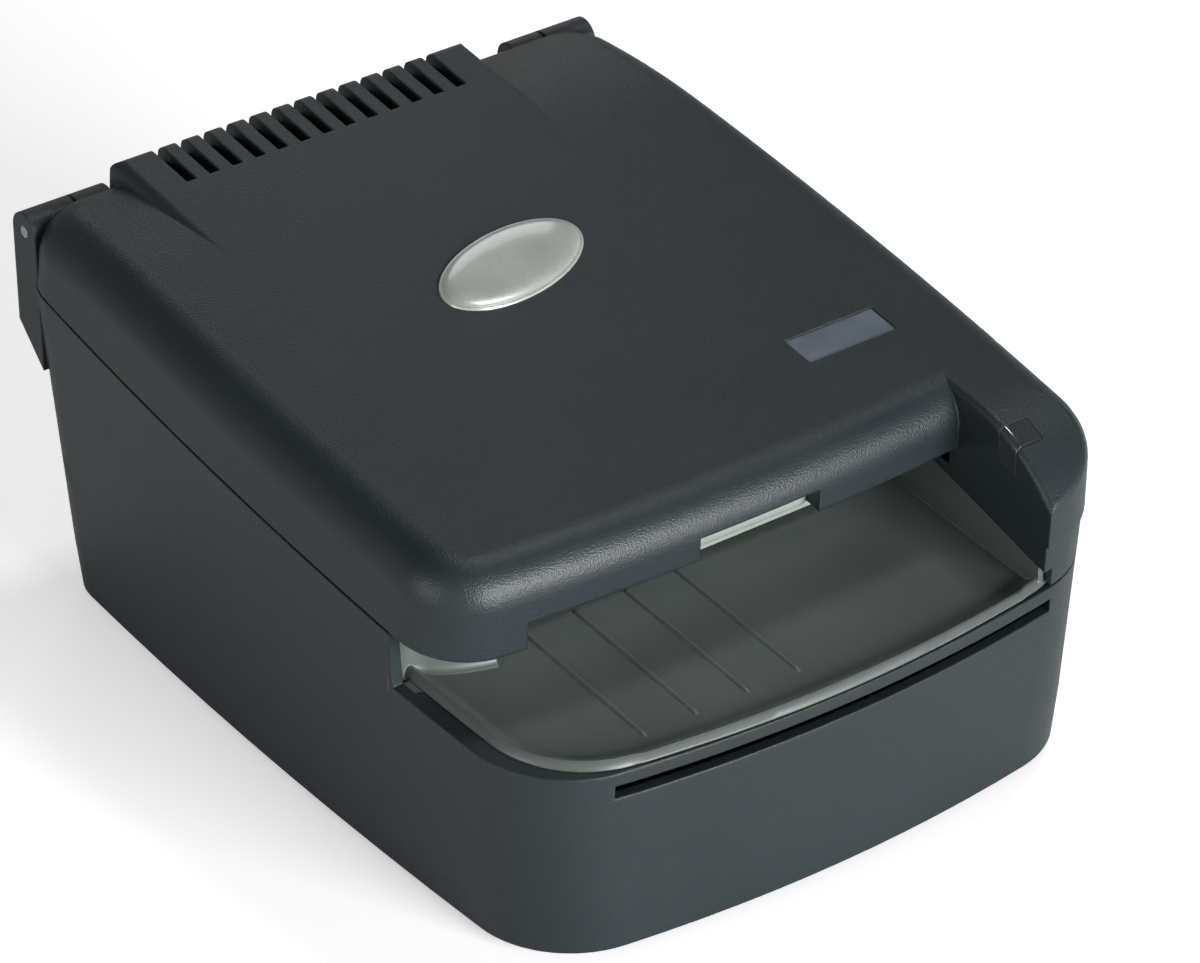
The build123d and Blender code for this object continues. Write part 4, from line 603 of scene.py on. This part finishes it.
# screws: under the bottom plate, on the board and in the upper guide
screwSize = {"Head Radius": 2.8, "Head Height": 1.8, "Shank Radius": 1.5, "Thread Pitch": 0.9,
             "Recess Width": 0.7}
screwSets = {
    "bottomScrews": {"body": "base", "node": "housing_screws", "length": 10.0, "turn": (0, 0, 0), "seed": 3,
                     "places": [(x, y, 3.6) for x in (-60, 60) for y in (-56.17, 63.83)]},
    "boardScrews": {"body": "base", "node": "board_screws", "length": 5.0, "turn": (math.pi, 0, 0),
                    "seed": 7,
                    "places": [(x, y, 9.8) for x in (-39, 39) for y in (51.83, 75.33)]},
    "guideScrews": {"body": "cover", "node": "guide_screws", "length": 5.0, "turn": (0.0536, 0, 0),
                    "seed": 11,
                    "places": [(x, y, z) for x in (-40, 40) for y, z in ((-28.23, 50.0), (59.64, 54.71))]},
}
for name, values in screwSets.items():
    piece = bakePiece(name, pointMesh(name + "Seeds", values["places"]), screwGroup, {
        **{label: size * mm for label, size in screwSize.items()}, "Length": values["length"] * mm,
        "Turn": values["turn"], "Seed": values["seed"], "Material": finishes["plainSteel"]})
    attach(piece, values["body"])
    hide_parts(values["node"])
print("screws made")

# rubber sleeves on the four rollers
tyreSize = {"Width": 12, "Groove Depth": 0.3, "Edge Round": 0.5}
tyreMiddles = (-18, 18)
tyreSets = {
    "frontFeedTyres": {"body": "front_feed", "node": "front_feed_tyres", "centre": (-23.72, 39.01),
                       "radius": 8.0, "bore": 2.5, "grooves": 36},
    "rearFeedTyres": {"body": "rear_feed", "node": "rear_feed_tyres", "centre": (32.20, 42.01),
                      "radius": 8.0, "bore": 2.5, "grooves": 36},
    "frontPinchTyres": {"body": "front_pinch", "node": "front_pinch_tyres", "centre": (-24.43, 52.29),
                        "radius": 5.0, "bore": 1.5, "grooves": 24},
    "rearPinchTyres": {"body": "rear_pinch", "node": "rear_pinch_tyres", "centre": (31.48, 55.29),
                       "radius": 5.0, "bore": 1.5, "grooves": 24},
}
for name, values in tyreSets.items():
    across = [(x, *values["centre"]) for x in tyreMiddles]
    piece = bakePiece(name, pointMesh(name + "Seeds", across), tyreGroup, {
        **{label: size * mm for label, size in tyreSize.items()}, "Radius": values["radius"] * mm,
        "Bore": values["bore"] * mm, "Groove Count": values["grooves"],
        "Material": finishes["rollerRubber"]})
    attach(piece, values["body"])
    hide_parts(values["node"])
print("rubber sleeves made")

# legs of the three chips on the board
chips = {"pitch": 1.0, "boardTop": 9.8,
         "bodies": [(-12, 53.83, 2, 67.83), (12, 55.83, 21, 64.83), (-30, 51.83, -20, 58.83)],
         "leg": {"Leg Width": 0.4, "Leg Reach": 1.2, "Leg Drop": 0.7, "Leg Thickness": 0.18}}
legPlaces, legTurns = [], []
for left, front, right, rear in chips["bodies"]:
    for low, high, along, fixed, turnAngle in (
            (front, rear, "y", left, math.pi), (front, rear, "y", right, 0.0),
            (left, right, "x", front, -math.pi / 2), (left, right, "x", rear, math.pi / 2)):
        count = int((high - low - 1) / chips["pitch"])
        first = (low + high - (count - 1) * chips["pitch"]) / 2
        for index in range(count):
            step = first + index * chips["pitch"]
            spot = (fixed, step) if along == "y" else (step, fixed)
            legPlaces.append((*spot, chips["boardTop"]))
            legTurns.append(turnAngle)
chipLegs = bakePiece("chipLegs", pointMesh("chipLegsSeeds", legPlaces, legTurns), legGroup, {
    **{label: size * mm for label, size in chips["leg"].items()}, "Material": finishes["plainSteel"]})
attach(chipLegs, "base")
print("chip legs made")


# entry tray: a shallow dish with a rolled rim, and a curved wall under the cover's left corner
tray = {
    "level": 48.1, "slope": 0.0536, "sideAtWidest": 67.51, "sideBow": 3.4, "bowMiddle": -5.0,
    "bowReach": 92.0,
    "rearY": -43.5, "frontY": -95.4, "frontBow": 9.5, "bowWidth": 72.6, "cornerRadius": 22.0,
    "cornerSteps": 24, "settleRounds": 12, "sideSteps": 16, "frontSteps": 40,
    "ribs": 4, "ribFirstX": -40.0, "ribPitch": 12.0,
    "ribFrontY": -85.0, "ribRearGap": 3.0, "ribWidth": 0.9, "ribHeight": 0.42, "ribSink": 0.5,
    "ribRunOut": [(0.0, 0.15), (0.6, 0.8), (1.5, 1.0)],
    # how far in and how high: from the underside's edge over the rolled rim to the floor
    "profile": [(0.3, -2.2), (0.0, -1.9), (0.0, 0.55), (0.1, 0.8), (0.85, 1.7), (1.2, 1.93), (1.55, 1.98),
                (1.9, 1.85), (2.4, 1.35), (3.0, 0.75), (3.7, 0.28), (4.6, 0.05), (5.6, 0.0)],
    # foot of the wall, seen from above
    "wallFoot": [(-69.9, -46.7), (-68.9, -45.6), (-67.6, -44.9), (-65.9, -44.6), (-63.9, -44.9),
                 (-61.9, -46.0),
                 (-60.0, -47.3), (-57.6, -48.5), (-55.0, -49.6), (-52.3, -50.5), (-50.0, -51.1)],
    "wallThickness": 1.6, "wallTopGap": 0.7, "wallFillet": 1.0, "wallSink": 0.6,
    "wallFlare": [(0.0, 1.0), (0.055, 1.0), (0.07, 0.62), (0.095, 0.28), (0.14, 0.06), (0.2, 0.0),
                  (0.97, 0.0), (1.0, -0.2)],
    "seatX": (-70.0, -66.9), "seatY": (-51.2, -46.9), "seatUp": (-1.5, 0.57),
    "cheekX": (50.1, 51.4), "cheekY": (-90.0, -43.5), "cheekTop": (48.0, 59.9), "cheekSink": 1.0,
}
seam = {"height": 64.0, "slope": 0.1077, "angle": 6.147}  # where the cover meets the housing


def trayPlace(x, y, height):  # from the tray's own sloping frame to the object's, in metres
    tilt = math.atan(tray["slope"])
    return Vector((x, y * math.cos(tilt) - height * math.sin(tilt) + originShift,
                   tray["level"] + y * math.sin(tilt) + height * math.cos(tilt))) * mm


def traySide(y):
    return tray["sideAtWidest"] - tray["sideBow"] * ((y - tray["bowMiddle"]) / tray["bowReach"]) ** 2


def trayFront(x):
    return tray["frontY"] + tray["frontBow"] * (x / tray["bowWidth"]) ** 2


def trayOutline(inset):  # left rear corner, round the front, to the right rear corner
    radius = tray["cornerRadius"]
    centreX = -radius
    for _ in range(tray["settleRounds"]):  # the corner's centre touches both the side and the front
        steep = 2 * tray["frontBow"] * centreX / tray["bowWidth"] ** 2
        centreY = trayFront(centreX) + radius * math.sqrt(1 + steep ** 2)
        centreX = -(traySide(centreY) - radius)
    steep = 2 * tray["frontBow"] * centreX / tray["bowWidth"] ** 2
    endAngle = 1.5 * math.pi + math.atan(steep)
    left = []
    for step in range(tray["sideSteps"]):
        y = tray["rearY"] + (centreY - tray["rearY"]) * step / tray["sideSteps"]
        left.append((-(traySide(y) - inset), y))
    for step in range(tray["cornerSteps"] + 1):
        angle = math.pi + (endAngle - math.pi) * step / tray["cornerSteps"]
        left.append((centreX + (radius - inset) * math.cos(angle),
                     centreY + (radius - inset) * math.sin(angle)))
    startX = left[-1][0]
    middle = []
    for step in range(1, tray["frontSteps"]):
        x = startX * (1 - 2 * step / tray["frontSteps"])
        bowX = x * centreX / startX if inset else x  # inner rows keep the corner's share of the bow
        middle.append((x, trayFront(bowX) + inset))
    return left + middle + [(-x, y) for x, y in reversed(left)]


def addStrip(shape, lower, upper):  # quads between two rows of vertices
    for index in range(len(lower) - 1):
        shape.faces.new((lower[index], lower[index + 1], upper[index + 1], upper[index]))


def addTube(shape, rings):  # closed strips between rings of vertices, filled at both ends
    for lower, upper in zip(rings, rings[1:]):
        addStrip(shape, lower + lower[:1], upper + upper[:1])
    shape.faces.new(rings[0])
    shape.faces.new(rings[-1])


def addRib(shape, stations):  # low rounded rib along the floor
    width, height, sink = tray["ribWidth"], tray["ribHeight"], tray["ribSink"]
    section = [(-0.5, -sink), (-0.5, 0.35), (-0.36, 0.75), (-0.15, 0.97), (0.15, 0.97), (0.36, 0.75),
               (0.5, 0.35),
               (0.5, -sink)]
    addTube(shape, [[shape.verts.new(trayPlace(x + width * across, y, height * share * up if up > 0 else up))
                     for across, up in section] for x, y, share in stations])


def finishShape(shape, name, material, crispFrom=sharpAngle):
    mesh = bpy.data.meshes.new(name)
    smoothInto(mesh, shape, crispFrom)
    mesh.materials.append(material)
    piece = bpy.data.objects.new(name, mesh)
    bpy.context.scene.collection.objects.link(piece)
    return piece


dish = bmesh.new()
rows = [[dish.verts.new(trayPlace(x, y, height)) for x, y in trayOutline(inset)]
        for inset, height in tray["profile"]]
for lower, upper in zip(rows, rows[1:]):
    addStrip(dish, lower, upper)
dish.faces.new(rows[0])
dish.faces.new(rows[-1])
dish.faces.new([row[0] for row in rows] + [row[-1] for row in reversed(rows)])
for index in range(tray["ribs"]):
    ribX = tray["ribFirstX"] + index * tray["ribPitch"]
    addRib(dish, [(ribX, tray["ribFrontY"] + along, share) for along, share in tray["ribRunOut"]]
           + [(ribX, tray["rearY"] - tray["ribRearGap"], 1.0)])


def wallPlace(x, y, up):  # up is 0 at the floor and 1 just under the seam
    low = tray["level"] + tray["slope"] * y
    high = seam["height"] + seam["slope"] * y - tray["wallTopGap"]
    sink = tray["wallSink"]
    return Vector((x, y + originShift, low - sink + (high - low + sink) * up)) * mm


outer, inner = [], []
foot = tray["wallFoot"]
for index, (x, y) in enumerate(foot):
    before, after = foot[max(index - 1, 0)], foot[min(index + 1, len(foot) - 1)]
    along = Vector((after[0] - before[0], after[1] - before[1])).normalized()
    outer.append((x, y))
    inner.append((x - along.y * tray["wallThickness"], y + along.x * tray["wallThickness"]))
wallRows = []
for up, spread in tray["wallFlare"]:  # the outer face flares into the floor
    wallRows.append([dish.verts.new(wallPlace(
        x + (x - ix) / tray["wallThickness"] * spread * tray["wallFillet"],
        y + (y - iy) / tray["wallThickness"] * spread * tray["wallFillet"], up))
        for (x, y), (ix, iy) in zip(outer, inner)])
wallRows.append([dish.verts.new(wallPlace(x, y, 1.0)) for x, y in inner])
wallRows.append([dish.verts.new(wallPlace(x, y, 0.0)) for x, y in inner])
for lower, upper in zip(wallRows, wallRows[1:] + wallRows[:1]):
    addStrip(dish, lower, upper)
for end in (0, -1):
    dish.faces.new([row[end] for row in wallRows])

(leftX, rightX), (nearY, farY) = tray["seatX"], tray["seatY"]  # fills the seat beside the wall
addTube(dish, [[dish.verts.new(trayPlace(x, y, height)) for x, y in (
    (leftX, nearY), (rightX, nearY), (rightX, farY), (leftX, farY))] for height in tray["seatUp"]])

frontY, rearY = tray["cheekY"]  # right cheek
frontTop, rearTop = tray["cheekTop"]
frontFoot, rearFoot = [tray["level"] + tray["slope"] * y - tray["cheekSink"] for y in tray["cheekY"]]
addTube(dish, [[dish.verts.new(Vector((x, y + originShift, z)) * mm) for y, z in (
    (rearY, rearFoot), (rearY, rearTop), (frontY, frontTop), (frontY, frontFoot))] for x in tray["cheekX"]])
trayInsert = finishShape(dish, "trayInsert", finishes["trayPlastic"])
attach(trayInsert, "base")
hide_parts("entry_tray")
print("entry tray made")


# badge lens and the bar behind the notch, both in the cover's seam frame
def seamPlace(x, y, height):
    tilt = math.radians(seam["angle"])
    return Vector((x, y * math.cos(tilt) - height * math.sin(tilt) + originShift,
                   seam["height"] + y * math.sin(tilt) + height * math.cos(tilt))) * mm


badge = {
    "halfLength": 18.9, "halfWidth": 10.2, "centreY": 15.5, "turn": 15.7, "coverHeight": 19.0, "steps": 96,
    "crispFrom": 0.9,
    # how far in and how high above the cover: seat, rolled edge, clear dome
    "profile": [(0.0, -0.95), (0.0, 0.1), (0.06, 0.24), (0.2, 0.33), (0.36, 0.36), (0.52, 0.34), (0.66, 0.3),
                (0.8, 0.42), (1.2, 0.62), (1.8, 0.8), (2.8, 0.98), (4.2, 1.12), (6.0, 1.22), (8.0, 1.28),
                (9.6, 1.3)],
}
lens = bmesh.new()
turnCos, turnSin = math.cos(math.radians(badge["turn"])), math.sin(math.radians(badge["turn"]))
lensRows = []
for inset, height in badge["profile"]:
    row = []
    for step in range(badge["steps"]):
        angle = 2 * math.pi * step / badge["steps"]
        x = (badge["halfLength"] - inset) * math.cos(angle)
        y = (badge["halfWidth"] - inset) * math.sin(angle)
        row.append(lens.verts.new(seamPlace(x * turnCos - y * turnSin,
                                            badge["centreY"] + x * turnSin + y * turnCos,
                                            badge["coverHeight"] + height)))
    lensRows.append(row)
addTube(lens, lensRows)
badgeLens = finishShape(lens, "badgeLens", finishes["badgeMetal"], badge["crispFrom"])
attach(badgeLens, "cover")
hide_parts("oval_badge")

throat = {"halfWidth": 13.9, "section": [(-57.8, 11.0), (-62.6, 11.0), (-62.9, 10.6), (-62.9, 7.0),
                                         (-62.7, 5.6),
                                         (-62.1, 4.8), (-61.2, 4.4), (-60.0, 4.2), (-58.4, 4.2),
                                         (-57.8, 4.6)]}
bar = bmesh.new()
addTube(bar, [[bar.verts.new(seamPlace(x, y, height)) for y, height in throat["section"]]
              for x in (-throat["halfWidth"], throat["halfWidth"])])
throatBar = finishShape(bar, "throatBar", finishes["guidePlastic"])
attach(throatBar, "cover")
print("badge and throat bar made")


# floor, light and camera
studio = {
    "floorSize": 6.0, "floorColour": (0.9, 0.9, 0.9, 1.0), "floorLift": 0.5, "horizonLevel": 0.37,
    "zenithLevel": 0.03, "aim": (0, 0, 0.05),
    "key": {"place": (0.25, -1.8, 0.3), "size": 0.9, "power": 74.0},
    "side": {"place": (-1.8, -0.1, 0.35), "size": 0.9, "power": 12.0},
    "top": {"place": (0.36, 0.08, 1.1), "size": 0.2, "power": 2.6},
    "rear": {"place": (0.36, 0.62, 0.44), "size": 0.25, "power": 0.3},
}
floorMesh = bpy.data.meshes.new("floor")
half = studio["floorSize"] / 2
floorMesh.from_pydata([(-half, -half, 0), (half, -half, 0), (half, half, 0), (-half, half, 0)],
                      [], [(0, 1, 2, 3)])
floor = bpy.data.objects.new("floor", floorMesh)
bpy.context.scene.collection.objects.link(floor)
floorPaint = bpy.data.materials.new("floorPaint")
floorPaint.use_nodes = True
floorTree = floorPaint.node_tree
floorShader = floorTree.nodes["Principled BSDF"]
setInputs(floorShader, Base_Color=studio["floorColour"], Roughness=0.9, Specular_IOR_Level=0.1,
          Emission_Color=(1, 1, 1, 1))
floorRays = addNode(floorTree, "ShaderNodeLightPath", -600, -200)
floorLift = mathNode(floorTree, "MULTIPLY", -300, -200, floorRays.outputs["Is Camera Ray"],
                     studio["floorLift"])
floorTree.links.new(floorLift, floorShader.inputs["Emission Strength"])
floorMesh.materials.append(floorPaint)

world = bpy.data.worlds.new("studio")
bpy.context.scene.world = world
world.use_nodes = True
worldTree = world.node_tree
worldTree.nodes.clear()
worldOut = addNode(worldTree, "ShaderNodeOutputWorld", 600, 0)
plainLight = addNode(worldTree, "ShaderNodeBackground", 0, 100)
setInputs(plainLight, Color=(1, 1, 1, 1))
skyPlace = addNode(worldTree, "ShaderNodeTexCoord", -900, -50)
skyParts = addNode(worldTree, "ShaderNodeSeparateXYZ", -700, -50)
link(worldTree, skyPlace, "Generated", skyParts, "Vector")
skyLevel = addNode(worldTree, "ShaderNodeMapRange", -450, -50)
link(worldTree, skyParts, "Z", skyLevel, "Value")
setInputs(skyLevel, From_Max=0.85, To_Min=studio["horizonLevel"], To_Max=studio["zenithLevel"])
link(worldTree, skyLevel, "Result", plainLight, "Strength")
seenLight = addNode(worldTree, "ShaderNodeBackground", 0, -100)
setInputs(seenLight, Color=(1, 1, 1, 1), Strength=1.0)
rays = addNode(worldTree, "ShaderNodeLightPath", -400, 300)
seen = mathNode(worldTree, "MAXIMUM", -200, 300, rays.outputs["Is Camera Ray"],
                rays.outputs["Is Transmission Ray"])
worldMix = addNode(worldTree, "ShaderNodeMixShader", 300, 0)
worldTree.links.new(seen, worldMix.inputs[0])
link(worldTree, plainLight, "Background", worldMix, 1)
link(worldTree, seenLight, "Background", worldMix, 2)
link(worldTree, worldMix, "Shader", worldOut, "Surface")

for name in ("key", "side", "top", "rear"):
    values = studio[name]
    lamp = bpy.data.lights.new(name, "AREA")
    lamp.energy = values["power"]
    lamp.size = values["size"]
    lampHolder = bpy.data.objects.new(name, lamp)
    lampHolder.location = values["place"]
    aim = Vector(studio["aim"]) - Vector(values["place"])
    lampHolder.rotation_euler = aim.to_track_quat("-Z", "Y").to_euler()
    bpy.context.scene.collection.objects.link(lampHolder)

cameraPlace = {"elevation": 32.63, "turn": -35.93, "roll": -0.41, "alongRight": 9.25, "alongUp": 34.22,
               "distance": 1167.7, "lens": 172.59, "sensorWidth": 36}
rise = math.radians(cameraPlace["elevation"])
turn = math.radians(cameraPlace["turn"])
backward = Vector((math.sin(turn) * math.cos(rise), -math.cos(turn) * math.cos(rise), math.sin(rise)))
rightward = Vector((math.cos(turn), math.sin(turn), 0))
upward = backward.cross(rightward)
spot = (backward * cameraPlace["distance"] + rightward * cameraPlace["alongRight"]
        + upward * cameraPlace["alongUp"] + Vector((0, originShift, 0))) * mm
roll = math.radians(cameraPlace["roll"])
rolledRight = rightward * math.cos(roll) + upward * math.sin(roll)
rolledUp = upward * math.cos(roll) - rightward * math.sin(roll)
cameraData = bpy.data.cameras.new("camera")
cameraData.sensor_width = cameraPlace["sensorWidth"]
cameraData.lens = cameraPlace["lens"]
cameraData.clip_end = 50
camera = bpy.data.objects.new("camera", cameraData)
turnMatrix = Matrix((rolledRight, rolledUp, backward)).transposed().to_4x4()
camera.matrix_world = Matrix.Translation(spot) @ turnMatrix
bpy.context.scene.collection.objects.link(camera)
bpy.context.scene.camera = camera
bpy.context.scene.view_settings.view_transform = "Standard"
print("studio set")
